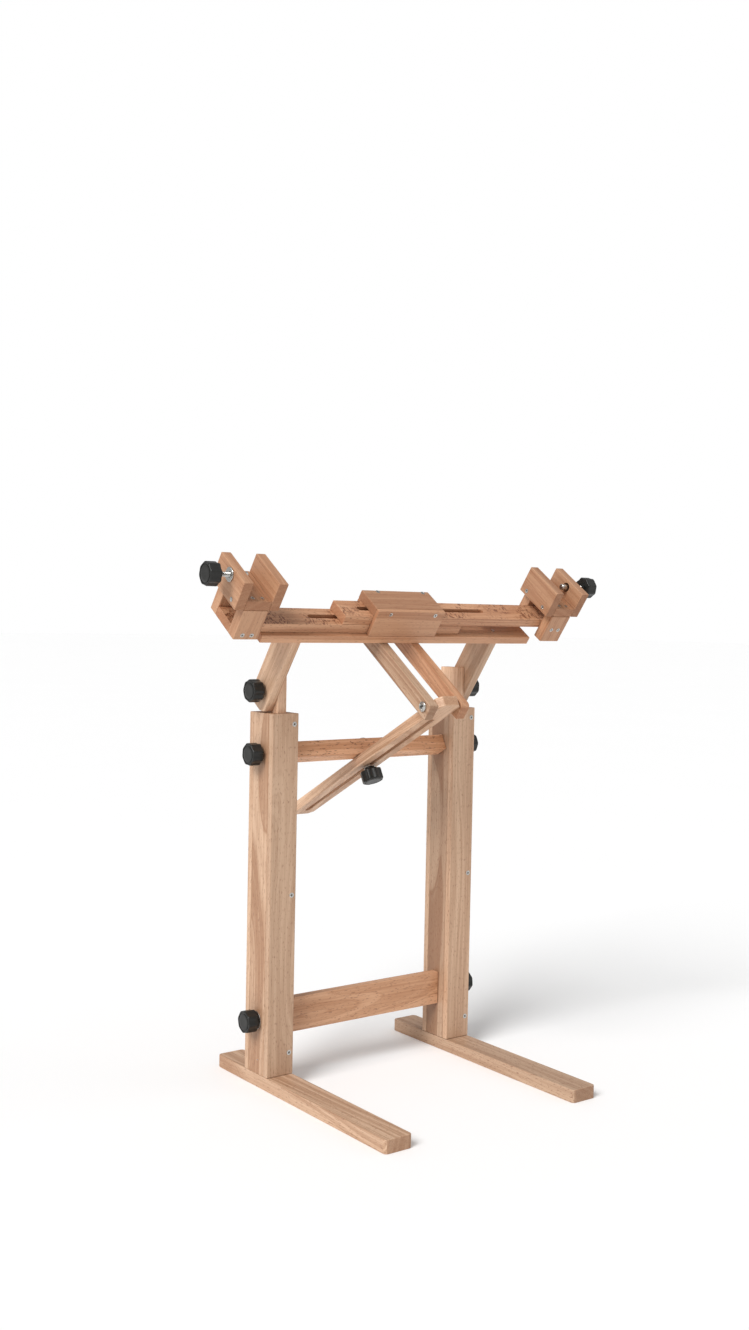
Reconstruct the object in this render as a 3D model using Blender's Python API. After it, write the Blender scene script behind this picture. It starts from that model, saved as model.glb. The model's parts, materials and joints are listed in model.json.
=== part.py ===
"""Floor stand that holds an embroidery or needlework frame, in beech with black locking knobs.

Two box columns stand on long feet. A slider rises out of each column and carries a head that
tilts. On the head two slotted bars slide sideways, and each ends in a screw clamp for the frame.
A slotted brace ties the head back to a turning rail between the columns.

World frame, in metres: the origin is on the floor, at the middle of the stand's width and depth;
+X is the stitcher's right, -Y is towards the stitcher, +Z is up.
Stand frame, used by everything that stays put: as the world, with y = 0 midway through the columns.
Head frame, used by everything that tilts: x as the world, y away from the stitcher along the base
board, z square to the base board, with its origin on the tilt axis.
"""
import math

import bmesh
import bpy

MM = 0.001

# Clearances
GAP = 0.3 * MM                  # between faces that touch
HOLE_PLAY = 0.3 * MM            # radial, between a stud and its hole
SLOT_PLAY = 1.0 * MM            # each side, between a stud and its slot
OVERCUT = 4.0 * MM              # how far a cutter runs past what it cuts

# Stock that the stand is cut from
SIDE_STOCK = 13.0 * MM          # side boards of the columns, and the arms
SLIDER_STOCK = 13.4 * MM
FACE_STOCK = 9.0 * MM           # front and back boards of the columns
LATH_STOCK = 13.5 * MM          # brace, struts and lower rail
BAR_STOCK = 13.2 * MM           # sliding bars, cheeks and blocks
BASE_STOCK = 11.3 * MM
EASED = 0.9 * MM                # rounding of the sawn edges

# Columns and feet
COLUMN_SPACING = 302.0 * MM     # centre to centre
COLUMN_TOP = 490.0 * MM
COLUMN_DEPTH = 55.0 * MM
FOOT_THICK = 17.0 * MM
FOOT_WIDTH = 40.0 * MM
FOOT_FRONT = 281.0 * MM         # reach towards the stitcher
FOOT_BACK = 96.0 * MM
FOOT_CORNER = 5.0 * MM

# Rails between the columns
LOWER_RAIL_Z = 87.6 * MM
LOWER_RAIL_HIGH = 45.7 * MM
UPPER_RAIL_DROP = 53.6 * MM     # below the columns' tops
UPPER_RAIL_SQUARE = 22.0 * MM
STUD_GRIP = 28.0 * MM           # length of a stud inside a rail's end

# Sliders
SLIDER_LENGTH = 285.0 * MM
SLIDER_SLOT_LENGTH = 161.0 * MM
PIVOT_RISE = 28.6 * MM          # tilt axis above the columns' tops
PIVOT_TO_SLIDER_TOP = 28.4 * MM

# Head
TILT = math.radians(35.15)
ARM_WIDTH = 40.2 * MM
ARM_BELOW_PIVOT = 24.2 * MM
ARM_ABOVE_PIVOT = 95.4 * MM
ARM_CUT_ALONG = 9.6 * MM        # cut corner that clears the column's top, along the arm's width
ARM_CUT_UP = 5.3 * MM
HEAD_LINE = -1.5 * MM           # y of the bars' centre line, slightly in front of the tilt axis
BASE_OVERHANG = 52.5 * MM       # beyond the arms' outer faces

# Sliding bars
BAR_WIDTH = 35.4 * MM
BAR_LENGTHS = {"left": 364.0 * MM, "right": 376.0 * MM}
BAR_SLOT_LENGTH = 215.0 * MM
BAR_SLOT_FROM_END = 28.0 * MM   # from the bar's inner end

# Cover over the bars
COVER_LENGTH = 110.8 * MM
COVER_X = -6.9 * MM
COVER_SIDE_STOCK = 5.8 * MM
COVER_TOP_STOCK = 12.7 * MM

# Struts and brace
MIDDLE_X = -4.5 * MM            # centre of the struts, the brace and the lock bolt
BRACE_WIDTH = 36.0 * MM
BRACE_SIDE_PLAY = 1.3 * MM      # to each strut
BRACE_LENGTH = 364.8 * MM       # from its pivot to its lower end
BRACE_NOSE = 16.0 * MM          # beyond its pivot
BRACE_CHAMFER = 7.0 * MM
BRACE_SLOT_START = 27.0 * MM    # from its pivot
BRACE_SLOT_END = 350.0 * MM
BRACE_RAIL_GAP = 1.0 * MM       # room for the brace and the rail to swing together
BRACE_WASHER_GAP = 1.6 * MM
STRUT_HIGH = 22.8 * MM
STRUT_FRONT = 156.5 * MM        # in front of the tilt axis
STRUT_BACK = 21.0 * MM
STRUT_CORNER = 6.0 * MM
BRACE_PIVOT_FORWARD = 145.0 * MM
BRACE_PIVOT_DROP = 9.6 * MM     # below the base board's underside

# End clamps
CLAMP_X = 252.7 * MM            # centre of each clamp's mouth
CLAMP_MOUTH = 35.1 * MM         # between the cheeks
CLAMP_LEG_STOCK = 15.0 * MM
CLAMP_LEG_HIGH = 42.7 * MM
CHEEK_HIGH = 39.0 * MM
CLAMP_SCREW_BELOW_TOP = 10.3 * MM

# Screws, bolts and knobs
STUD_RADIUS = 3.0 * MM
NUT_ACROSS = 10.0 * MM
NUT_THICK = 5.0 * MM
BOLT_HEAD_HIGH = 4.0 * MM
PAN_HEAD_RADIUS = 6.5 * MM
PAN_HEAD_HIGH = 4.2 * MM
BOLT_PROUD = 2.5 * MM           # bolt's end beyond its nut
CARRIAGE_HEAD_RADIUS = 7.0 * MM
CARRIAGE_HEAD_HIGH = 3.4 * MM
WASHER_RADIUS = 8.0 * MM
WASHER_THICK = 1.6 * MM
KNOB_RADIUS = 15.0 * MM
KNOB_HIGH = 16.0 * MM
KNOB_FLUTE = 1.1 * MM
KNOB_HUB_RADIUS = 7.0 * MM
KNOB_HUB_HIGH = 3.5 * MM
KNOB_EDGE = 1.5 * MM
KNOB_THREAD_DEPTH = 15.0 * MM
KNOB_LOBES = 8
FLANGE_RADIUS = 9.0 * MM
FLANGE_THICK = 1.5 * MM
BARREL_RADIUS = 4.0 * MM
BARREL_LENGTH = 6.0 * MM
FOOT_HOLE_RADIUS = 6.5 * MM
PRESS_FOOT_RADIUS = 4.2 * MM
PRESS_FOOT_LENGTH = 15.0 * MM
PRESS_FOOT_PROUD = 10.0 * MM    # out of the cheek at rest
PRESS_FOOT_GRIP = 6.0 * MM      # length of the screw inside the pressure foot
CLAMP_SCREW_SHOWN = 13.0 * MM   # between the flange and the knob at rest
STUD_IN_KNOB = 11.0 * MM
LOCK_POCKET_PLAY = 1.0 * MM

ROUND = 16                      # sides of a turned piece
DOME_TOP = 0.6                  # flat top of a domed head, as a share of its radius
SHARP_ANGLE = math.radians(35)  # edges sharper than this are eased, or stay sharp on round pieces
KNOB_SIDES = 2 * KNOB_LOBES

# Sizes that follow from the ones above
SIDES = {"left": -1, "right": 1}
COLUMN_X = COLUMN_SPACING / 2
CAVITY_WIDTH = SLIDER_STOCK + 2 * GAP
COLUMN_WIDTH = CAVITY_WIDTH + 2 * SIDE_STOCK
COLUMN_OUTER = COLUMN_X + COLUMN_WIDTH / 2
COLUMN_INNER = COLUMN_X - COLUMN_WIDTH / 2
CAVITY_HALF_DEPTH = COLUMN_DEPTH / 2 - FACE_STOCK
UPPER_RAIL_Z = COLUMN_TOP - UPPER_RAIL_DROP
PIVOT_Z = COLUMN_TOP + PIVOT_RISE
SLIDER_TOP = PIVOT_Z + PIVOT_TO_SLIDER_TOP
SLOT_RADIUS = STUD_RADIUS + SLOT_PLAY
HOLE_RADIUS = STUD_RADIUS + HOLE_PLAY

BASE_Z = ARM_ABOVE_PIVOT + GAP
BASE_TOP = BASE_Z + BASE_STOCK
BASE_HALF_WIDTH = BAR_WIDTH / 2 + GAP + COVER_SIDE_STOCK
BASE_HALF_LENGTH = COLUMN_OUTER + BASE_OVERHANG
BAR_Z = {"left": BASE_TOP + GAP, "right": BASE_TOP + BAR_STOCK + 2 * GAP}
BARS_TOP = BAR_Z["right"] + BAR_STOCK
COVER_TOP = BARS_TOP + GAP + COVER_TOP_STOCK

STRUT_INNER = BRACE_WIDTH / 2 + BRACE_SIDE_PLAY
BRACE_PIVOT_Z = BASE_Z - BRACE_PIVOT_DROP
RAIL_TO_BRACE = UPPER_RAIL_SQUARE / 2 + BRACE_RAIL_GAP + LATH_STOCK / 2

CLAMP_LEG_INNER = BAR_WIDTH / 2 + GAP
CLAMP_HALF_LONG = CLAMP_LEG_INNER + CLAMP_LEG_STOCK
CHEEK_Z = BASE_TOP + 2 * GAP + CLAMP_LEG_HIGH
CLAMP_SCREW_Z = CHEEK_Z + CHEEK_HIGH - CLAMP_SCREW_BELOW_TOP
CHEEK_INNER = CLAMP_MOUTH / 2 + GAP
CHEEK_OUTER = CHEEK_INNER + BAR_STOCK


def brace_pivot_in_stand():
    """The brace pivot's y and z in the stand frame, with the head at its rest tilt."""
    forward, up = BRACE_PIVOT_FORWARD, BRACE_PIVOT_Z
    y = -forward * math.cos(TILT) - up * math.sin(TILT)
    z = PIVOT_Z - forward * math.sin(TILT) + up * math.cos(TILT)
    return y, z


def brace_slope():
    """Angle below level at which the brace lies along the underside of the upper rail."""
    y, z = brace_pivot_in_stand()
    run, drop = -y, z - UPPER_RAIL_Z
    return math.atan2(drop, run) + math.asin(RAIL_TO_BRACE / math.hypot(run, drop))


BRACE_SLOPE = brace_slope()


def brace_tail():
    """How far behind the columns' middle the brace's lower end reaches."""
    along = (BRACE_LENGTH - EASED) * math.cos(BRACE_SLOPE)
    return brace_pivot_in_stand()[0] + along + LATH_STOCK / 2 * math.sin(BRACE_SLOPE)


STAND_Y = (FOOT_FRONT - brace_tail()) / 2


# ---------------------------------------------------------------- materials and frames

def make_material(name, colour, roughness, metallic=0.0):
    """A plain Principled BSDF material."""
    material = bpy.data.materials.new(name)
    material.use_nodes = True
    shader = material.node_tree.nodes["Principled BSDF"]
    shader.inputs["Base Color"].default_value = (*colour, 1.0)
    shader.inputs["Roughness"].default_value = roughness
    shader.inputs["Metallic"].default_value = metallic
    return material


MATERIAL_VALUES = {
    "beech": ((0.60, 0.38, 0.23), 0.55, 0.0),
    "steel": ((0.62, 0.61, 0.58), 0.30, 1.0),
    "black_plastic": ((0.02, 0.02, 0.022), 0.45, 0.0),
}


def make_frame(name, parent, location=(0.0, 0.0, 0.0), angle=0.0):
    """An empty turned about x, which carries the pieces of one moving group."""
    frame = bpy.data.objects.new(name, None)
    frame.location = location
    frame.rotation_euler = (angle, 0.0, 0.0)
    frame.parent = parent
    bpy.context.collection.objects.link(frame)
    return frame


def add_object(name, bm, stock, parent, location=(0.0, 0.0, 0.0), rotation=(0.0, 0.0, 0.0)):
    """Turn a bmesh into a named object with its own material, and close the bmesh."""
    bmesh.ops.recalc_face_normals(bm, faces=bm.faces)
    mesh = bpy.data.meshes.new(name)
    bm.to_mesh(mesh)
    bm.free()
    piece = bpy.data.objects.new(name, mesh)
    if stock:
        mesh.materials.append(make_material(name, *MATERIAL_VALUES[stock]))
    piece.location = location
    piece.rotation_euler = rotation
    piece.parent = parent
    bpy.context.collection.objects.link(piece)
    return piece


# ---------------------------------------------------------------- solids

def extruded(outline, axis, low, high):
    """A bmesh of a flat outline carried from low to high along axis 0, 1 or 2."""
    bm = bmesh.new()
    corners = []
    for first, second in outline:
        point = [first, second]
        point.insert(axis, low)
        corners.append(bm.verts.new(point))
    face = bm.faces.new(corners)
    sides = bmesh.ops.extrude_face_region(bm, geom=[face])
    moved = [item for item in sides["geom"] if isinstance(item, bmesh.types.BMVert)]
    shift = [0.0, 0.0, 0.0]
    shift[axis] = high - low
    bmesh.ops.translate(bm, verts=moved, vec=shift)
    return bm


def rectangle(first, second):
    """The four corners of a rectangle given by two ranges."""
    return [(first[0], second[0]), (first[1], second[0]), (first[1], second[1]),
            (first[0], second[1])]


def arc(centre, radius, start, end, steps):
    """Points on an arc, in degrees, both ends included."""
    points = []
    for step in range(steps + 1):
        angle = math.radians(start + (end - start) * step / steps)
        points.append((centre[0] + radius * math.cos(angle), centre[1] + radius * math.sin(angle)))
    return points


def slot_outline(centre, start, end, radius):
    """A slot with round ends: the first axis is across it and the second along it."""
    lower = arc((centre, start + radius), radius, 180, 360, ROUND // 2)
    upper = arc((centre, end - radius), radius, 0, 180, ROUND // 2)
    return lower + upper


def ease(piece, width=EASED):
    """Round the piece's sharp edges."""
    bevel = piece.modifiers.new("eased_edges", "BEVEL")
    bevel.width = width
    bevel.segments = 2
    bevel.limit_method = "ANGLE"
    bevel.angle_limit = SHARP_ANGLE
    return piece


def board(name, x, y, z, parent):
    """A straight board, given by its three ranges, with eased edges."""
    return ease(add_object(name, extruded(rectangle(x, y), 2, *z), "beech", parent))


def combine(piece, tool, operation):
    """Cut a hidden tool out of the piece, or join it on."""
    tool.hide_render = True
    tool.display_type = "WIRE"
    change = piece.modifiers.new(tool.name, "BOOLEAN")
    change.operation = operation
    change.solver = "EXACT"
    change.object = tool
    return piece


def cut_prism(piece, name, outline, axis, low, high):
    """Cut an extruded outline out of the piece."""
    tool = add_object(name, extruded(outline, axis, low, high), None, piece.parent)
    return combine(piece, tool, "DIFFERENCE")


def drill(piece, name, axis, centre, low, high, radius=HOLE_RADIUS):
    """Bore a round hole along an axis, from low to high."""
    return cut_prism(piece, name, arc(centre, radius, 0, 360, ROUND)[:-1], axis, low, high)


def rings(profile, sides, flute=None):
    """A turned bmesh about +z: profile is (radius, height, lobed) from one end to the other.

    A lobed ring alternates between the full radius and the radius less the flute's depth.
    """
    bm = bmesh.new()
    loops = []
    for radius, height, lobed in profile:
        loop = []
        for side in range(sides):
            angle = 2 * math.pi * side / sides
            reach = radius - (flute if lobed and side % 2 else 0.0)
            loop.append(bm.verts.new((reach * math.cos(angle), reach * math.sin(angle), height)))
        loops.append(loop)
    for lower, upper in zip(loops, loops[1:]):
        for side in range(sides):
            after = (side + 1) % sides
            bm.faces.new((lower[side], lower[after], upper[after], upper[side]))
    bm.faces.new(loops[0])
    bm.faces.new(loops[-1])
    return bm


def turned(name, profile, stock, parent, location, rotation=(0.0, 0.0, 0.0)):
    """A round piece turned from (radius, height) pairs, shaded smooth."""
    bm = rings([(radius, height, False) for radius, height in profile], ROUND)
    piece = add_object(name, bm, stock, parent, location, rotation)
    return smooth(piece)


def smooth(piece):
    """Shade a round piece smooth, with its corners kept sharp."""
    piece.data.shade_smooth()
    piece.data.set_sharp_from_angle(angle=SHARP_ANGLE)
    return piece


def outward(side):
    """Rotation that turns +z to point away from the stand's middle, along x."""
    return (0.0, SIDES[side] * math.pi / 2, 0.0)


def facing(side, near, far):
    """An x range on one side of the stand, from distances to its middle plane."""
    sign = SIDES[side]
    return tuple(sorted((sign * near, sign * far)))


# ---------------------------------------------------------------- knobs and fasteners

KNOB_BODY = [
    (KNOB_HUB_RADIUS, KNOB_HUB_HIGH, False),
    (KNOB_RADIUS - KNOB_EDGE, KNOB_HUB_HIGH, True),
    (KNOB_RADIUS, KNOB_HUB_HIGH + KNOB_EDGE, True),
    (KNOB_RADIUS, KNOB_HUB_HIGH + KNOB_HIGH - KNOB_EDGE, True),
    (KNOB_RADIUS - KNOB_EDGE, KNOB_HUB_HIGH + KNOB_HIGH, True),
]


def threaded_knob(name, parent, location, rotation):
    """A knob with a blind threaded hole; z = 0 is the face of its hub."""
    bore = [(HOLE_RADIUS, KNOB_THREAD_DEPTH, False), (HOLE_RADIUS, 0.0, False)]
    profile = bore + [(KNOB_HUB_RADIUS, 0.0, False)] + KNOB_BODY
    piece = add_object(name, rings(profile, KNOB_SIDES, KNOB_FLUTE), "black_plastic", parent,
                       location, rotation)
    return smooth(piece)


def studded_knob(name, stud_length, parent, location, rotation):
    """A knob moulded round its stud, which stands out of the hub along -z."""
    stud = [(STUD_RADIUS, -stud_length, False), (STUD_RADIUS, 0.0, False)]
    profile = stud + [(KNOB_HUB_RADIUS, 0.0, False)] + KNOB_BODY
    piece = add_object(name, rings(profile, KNOB_SIDES, KNOB_FLUTE), "black_plastic", parent,
                       location, rotation)
    return smooth(piece)


def stud(name, low, high, parent, location, rotation):
    """A plain steel stud between two heights on its own axis."""
    return turned(name, [(STUD_RADIUS, low), (STUD_RADIUS, high)], "steel", parent, location,
                  rotation)


def hexagon(across):
    """Corners of a hexagon with the given width across its flats."""
    return arc((0.0, 0.0), across / math.sqrt(3), 0, 360, 6)[:-1]


def nut(name, parent, location, rotation):
    """A hexagon nut on its own axis, from z = 0 up."""
    piece = add_object(name, extruded(hexagon(NUT_ACROSS), 2, 0.0, NUT_THICK), "steel", parent,
                       location, rotation)
    tool = add_object(name + "_thread", extruded(arc((0.0, 0.0), HOLE_RADIUS, 0, 360, ROUND)[:-1],
                      2, -OVERCUT, NUT_THICK + OVERCUT), None, parent, location, rotation)
    return combine(piece, tool, "DIFFERENCE")


# ---------------------------------------------------------------- base frame

def build_foot(side, stand):
    """A long foot with rounded corners."""
    low, high = facing(side, COLUMN_X - FOOT_WIDTH / 2, COLUMN_X + FOOT_WIDTH / 2)
    near, far = -FOOT_FRONT, FOOT_BACK
    corners = [(low, near, 180), (high, near, 270), (high, far, 0), (low, far, 90)]
    outline = []
    for x, y, start in corners:
        inset_x = x + FOOT_CORNER if x == low else x - FOOT_CORNER
        inset_y = y + FOOT_CORNER if y == near else y - FOOT_CORNER
        outline += arc((inset_x, inset_y), FOOT_CORNER, start, start + 90, 3)
    ease(add_object(f"{side}_foot", extruded(outline, 2, 0.0, FOOT_THICK), "beech", stand))


def build_column(side, stand):
    """Four boards round a cavity; both side boards are bored for the rails' studs."""
    height = (FOOT_THICK + GAP, COLUMN_TOP)
    half = COLUMN_DEPTH / 2
    full = facing(side, COLUMN_INNER, COLUMN_OUTER)
    board(f"{side}_column_front", full, (-half, -half + FACE_STOCK), height, stand)
    board(f"{side}_column_back", full, (half - FACE_STOCK, half), height, stand)
    between = (-CAVITY_HALF_DEPTH + GAP, CAVITY_HALF_DEPTH - GAP)
    spans = {
        "outer": facing(side, COLUMN_OUTER - SIDE_STOCK, COLUMN_OUTER),
        "inner": facing(side, COLUMN_INNER, COLUMN_INNER + SIDE_STOCK),
    }
    for name, span in spans.items():
        piece = board(f"{side}_column_{name}", span, between, height, stand)
        for level, z in (("upper", UPPER_RAIL_Z), ("lower", LOWER_RAIL_Z)):
            drill(piece, f"cut_{piece.name}_{level}", 0, (0.0, z), span[0] - OVERCUT,
                  span[1] + OVERCUT)


def build_lower_rail(stand):
    """The lower rail, bored at both ends for the lower knobs' studs."""
    end = COLUMN_INNER - GAP
    half = LOWER_RAIL_HIGH / 2
    rail = board("lower_rail", (-end, end), (-LATH_STOCK / 2, LATH_STOCK / 2),
                 (LOWER_RAIL_Z - half, LOWER_RAIL_Z + half), stand)
    for side in SIDES:
        low, high = facing(side, end - STUD_GRIP - OVERCUT / 2, end + OVERCUT)
        drill(rail, f"cut_lower_rail_{side}", 0, (0.0, LOWER_RAIL_Z), low, high)


def build_slider(side, stand):
    """A slotted lath that rises out of its column and carries the tilt axis."""
    span = facing(side, COLUMN_X - SLIDER_STOCK / 2, COLUMN_X + SLIDER_STOCK / 2)
    half = CAVITY_HALF_DEPTH - GAP
    slider = board(f"{side}_slider", span, (-half, half),
                   (SLIDER_TOP - SLIDER_LENGTH, SLIDER_TOP), stand)
    through = (span[0] - OVERCUT, span[1] + OVERCUT)
    slot_top = UPPER_RAIL_Z + SLOT_RADIUS + SLOT_PLAY / 2
    cut_prism(slider, f"cut_{side}_slider_slot",
              slot_outline(0.0, slot_top - SLIDER_SLOT_LENGTH, slot_top, SLOT_RADIUS), 0, *through)
    drill(slider, f"cut_{side}_slider_pivot", 0, (0.0, PIVOT_Z), *through)


def build_column_knobs(side, stand):
    """The lower knob with its stud, the upper rail's stud with its knob, and the tilt knob."""
    x = SIDES[side] * (COLUMN_OUTER + GAP)
    turn = outward(side)
    through_column = COLUMN_WIDTH + 2 * GAP
    studded_knob(f"{side}_lower_knob", through_column + STUD_GRIP - 2 * GAP, stand,
                 (x, 0.0, LOWER_RAIL_Z), turn)
    threaded_knob(f"{side}_upper_knob", stand, (x, 0.0, UPPER_RAIL_Z), turn)
    stud(f"{side}_rail_stud", -through_column - STUD_GRIP + 2 * GAP, STUD_IN_KNOB, stand,
         (x, 0.0, UPPER_RAIL_Z), turn)
    studded_knob(f"{side}_tilt_knob", SIDE_STOCK + SLIDER_STOCK + 2 * GAP, stand,
                 (x, 0.0, PIVOT_Z), turn)


# ---------------------------------------------------------------- head

def build_arm(side, head):
    """An arm from the tilt axis up to the base board, its lower front corner cut off."""
    half = ARM_WIDTH / 2
    outline = [
        (-half, ARM_ABOVE_PIVOT),
        (-half, -ARM_BELOW_PIVOT + ARM_CUT_UP),
        (-half + ARM_CUT_ALONG, -ARM_BELOW_PIVOT),
        (half, -ARM_BELOW_PIVOT),
        (half, ARM_ABOVE_PIVOT),
    ]
    span = facing(side, COLUMN_OUTER - SIDE_STOCK, COLUMN_OUTER)
    arm = ease(add_object(f"{side}_arm", extruded(outline, 0, *span), "beech", head))
    drill(arm, f"cut_{side}_arm", 0, (0.0, 0.0), span[0] - OVERCUT, span[1] + OVERCUT)


def build_base_board(head):
    """The board that the bars slide on, bored for the lock bolt."""
    base = board("base_board", (-BASE_HALF_LENGTH, BASE_HALF_LENGTH),
                 (HEAD_LINE - BASE_HALF_WIDTH, HEAD_LINE + BASE_HALF_WIDTH),
                 (BASE_Z, BASE_TOP), head)
    drill(base, "cut_base_board", 2, (MIDDLE_X, HEAD_LINE), BASE_Z - OVERCUT, BASE_TOP + OVERCUT)


def build_cover(head):
    """A front board, a back board and a top with a pocket for the lock bolt's head."""
    x = (COVER_X - COVER_LENGTH / 2, COVER_X + COVER_LENGTH / 2)
    front, back = HEAD_LINE - BASE_HALF_WIDTH, HEAD_LINE + BASE_HALF_WIDTH
    low, under_top = BASE_TOP + GAP, BARS_TOP + GAP
    board("cover_front", x, (front, front + COVER_SIDE_STOCK), (low, COVER_TOP), head)
    board("cover_back", x, (back - COVER_SIDE_STOCK, back), (low, under_top - GAP), head)
    top = board("cover_top", x, (front + COVER_SIDE_STOCK + GAP, back), (under_top, COVER_TOP),
                head)
    half = NUT_ACROSS / math.sqrt(3) + LOCK_POCKET_PLAY
    pocket = rectangle((MIDDLE_X - half, MIDDLE_X + half), (HEAD_LINE - half, HEAD_LINE + half))
    cut_prism(top, "cut_lock_pocket", pocket, 2, under_top - OVERCUT,
              under_top + BOLT_HEAD_HIGH + LOCK_POCKET_PLAY)


def build_lock_bolt(head):
    """The hexagon bolt through both bars' slots and the base board, and its nut below."""
    place = (MIDDLE_X, HEAD_LINE, BARS_TOP + GAP)
    nut_z = BASE_Z - GAP - NUT_THICK
    length = place[2] - nut_z + BOLT_PROUD
    bolt = stud("lock_bolt", -length, BOLT_HEAD_HIGH / 2, head, place, (0.0, 0.0, 0.0))
    crown = add_object("lock_bolt_head", extruded(hexagon(NUT_ACROSS), 2, 0.0, BOLT_HEAD_HIGH),
                       None, head, place)
    combine(bolt, crown, "UNION")
    nut("lock_nut", head, (MIDDLE_X, HEAD_LINE, nut_z), (0.0, 0.0, 0.0))


def build_struts(head):
    """Two struts under the base board that carry the brace's pivot in front."""
    top, bottom = BASE_Z - GAP, BASE_Z - STRUT_HIGH
    front = -STRUT_FRONT
    nose = arc((front + STRUT_CORNER, top - STRUT_CORNER), STRUT_CORNER, 180, 90, 4)
    outline = [(STRUT_BACK, bottom), (front, bottom)] + nose + [(STRUT_BACK, top)]
    for side, sign in SIDES.items():
        faces = (MIDDLE_X + sign * STRUT_INNER, MIDDLE_X + sign * (STRUT_INNER + LATH_STOCK))
        span = (min(faces), max(faces))
        strut = ease(add_object(f"{side}_strut", extruded(outline, 0, *span), "beech", head))
        drill(strut, f"cut_{side}_strut", 0, (-BRACE_PIVOT_FORWARD, BRACE_PIVOT_Z),
              span[0] - OVERCUT, span[1] + OVERCUT)


# ---------------------------------------------------------------- bars and clamps

def build_bar(side, frame):
    """A slotted bar with its outer end under its clamp."""
    outer = CLAMP_X + CLAMP_MOUTH / 2
    inner = outer - BAR_LENGTHS[side]
    z = (BAR_Z[side], BAR_Z[side] + BAR_STOCK)
    bar = board(f"{side}_bar", facing(side, inner, outer),
                (HEAD_LINE - BAR_WIDTH / 2, HEAD_LINE + BAR_WIDTH / 2), z, frame)
    start, end = facing(side, inner + BAR_SLOT_FROM_END,
                        inner + BAR_SLOT_FROM_END + BAR_SLOT_LENGTH)
    outline = [(along, across) for across, along in
               slot_outline(HEAD_LINE, start, end, SLOT_RADIUS)]
    cut_prism(bar, f"cut_{side}_bar_slot", outline, 2, z[0] - OVERCUT, z[1] + OVERCUT)


def build_clamp(side, frame):
    """Two legs, a block on top of them and two cheeks; the outer cheek takes the screw."""
    mouth = facing(side, CLAMP_X - CLAMP_MOUTH / 2, CLAMP_X + CLAMP_MOUTH / 2)
    leg_z = (BASE_TOP + GAP, BASE_TOP + GAP + CLAMP_LEG_HIGH)
    long = (HEAD_LINE - CLAMP_HALF_LONG, HEAD_LINE + CLAMP_HALF_LONG)
    board(f"{side}_clamp_front_leg", mouth, (long[0], HEAD_LINE - CLAMP_LEG_INNER), leg_z, frame)
    board(f"{side}_clamp_back_leg", mouth, (HEAD_LINE + CLAMP_LEG_INNER, long[1]), leg_z, frame)
    board(f"{side}_clamp_block", mouth, long, (CHEEK_Z, CHEEK_Z + BAR_STOCK), frame)
    cheek_z = (CHEEK_Z, CHEEK_Z + CHEEK_HIGH)
    board(f"{side}_clamp_inner_cheek", facing(side, CLAMP_X - CHEEK_OUTER, CLAMP_X - CHEEK_INNER),
          long, cheek_z, frame)
    outer = board(f"{side}_clamp_outer_cheek",
                  facing(side, CLAMP_X + CHEEK_INNER, CLAMP_X + CHEEK_OUTER), long, cheek_z, frame)
    centre = (HEAD_LINE, CLAMP_SCREW_Z)
    step = CLAMP_X + CHEEK_OUTER - BARREL_LENGTH - GAP
    drill(outer, f"cut_{side}_cheek_barrel", 0, centre,
          *facing(side, step - OVERCUT / 2, CLAMP_X + CHEEK_OUTER + OVERCUT),
          BARREL_RADIUS + HOLE_PLAY)
    drill(outer, f"cut_{side}_cheek_recess", 0, centre,
          *facing(side, CLAMP_X + CHEEK_INNER - OVERCUT, step), FOOT_HOLE_RADIUS)


def build_clamp_screw(side, frame):
    """The flanged nut, the screw with its knob, and the pressure foot inside the mouth."""
    turn = outward(side)
    face = CLAMP_X + CHEEK_OUTER + GAP

    def at(distance):
        return (SIDES[side] * distance, HEAD_LINE, CLAMP_SCREW_Z)

    flange = [
        (HOLE_RADIUS, FLANGE_THICK), (HOLE_RADIUS, -BARREL_LENGTH), (BARREL_RADIUS, -BARREL_LENGTH),
        (BARREL_RADIUS, 0.0), (FLANGE_RADIUS, 0.0), (FLANGE_RADIUS, FLANGE_THICK),
    ]
    ring_piece(f"{side}_flanged_nut", flange, frame, at(face), turn)
    knob_x = face + FLANGE_THICK + CLAMP_SCREW_SHOWN
    tip = CLAMP_X + CHEEK_INNER - PRESS_FOOT_PROUD
    threaded_knob(f"{side}_clamp_knob", frame, at(knob_x), turn)
    foot_back = PRESS_FOOT_LENGTH
    stud(f"{side}_clamp_screw", tip + foot_back - PRESS_FOOT_GRIP + GAP - knob_x, STUD_IN_KNOB,
         frame, at(knob_x), turn)
    socket = foot_back - PRESS_FOOT_GRIP
    foot = [
        (HOLE_RADIUS, socket), (HOLE_RADIUS, foot_back), (PRESS_FOOT_RADIUS, foot_back),
        (PRESS_FOOT_RADIUS, 0.0),
    ]
    turned(f"{side}_pressure_foot", foot, "steel", frame, at(tip), turn)


def ring_piece(name, profile, parent, location, rotation):
    """A turned ring with a through hole: the profile closes on itself."""
    bm = rings([(radius, height, False) for radius, height in profile], ROUND)
    ends = [face for face in bm.faces if len(face.verts) == ROUND]
    bmesh.ops.delete(bm, geom=ends, context="FACES_ONLY")
    loops = [edge for edge in bm.edges if edge.is_boundary]
    bmesh.ops.bridge_loops(bm, edges=loops)
    return smooth(add_object(name, bm, "steel", parent, location, rotation))


# ---------------------------------------------------------------- brace and upper rail

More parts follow.
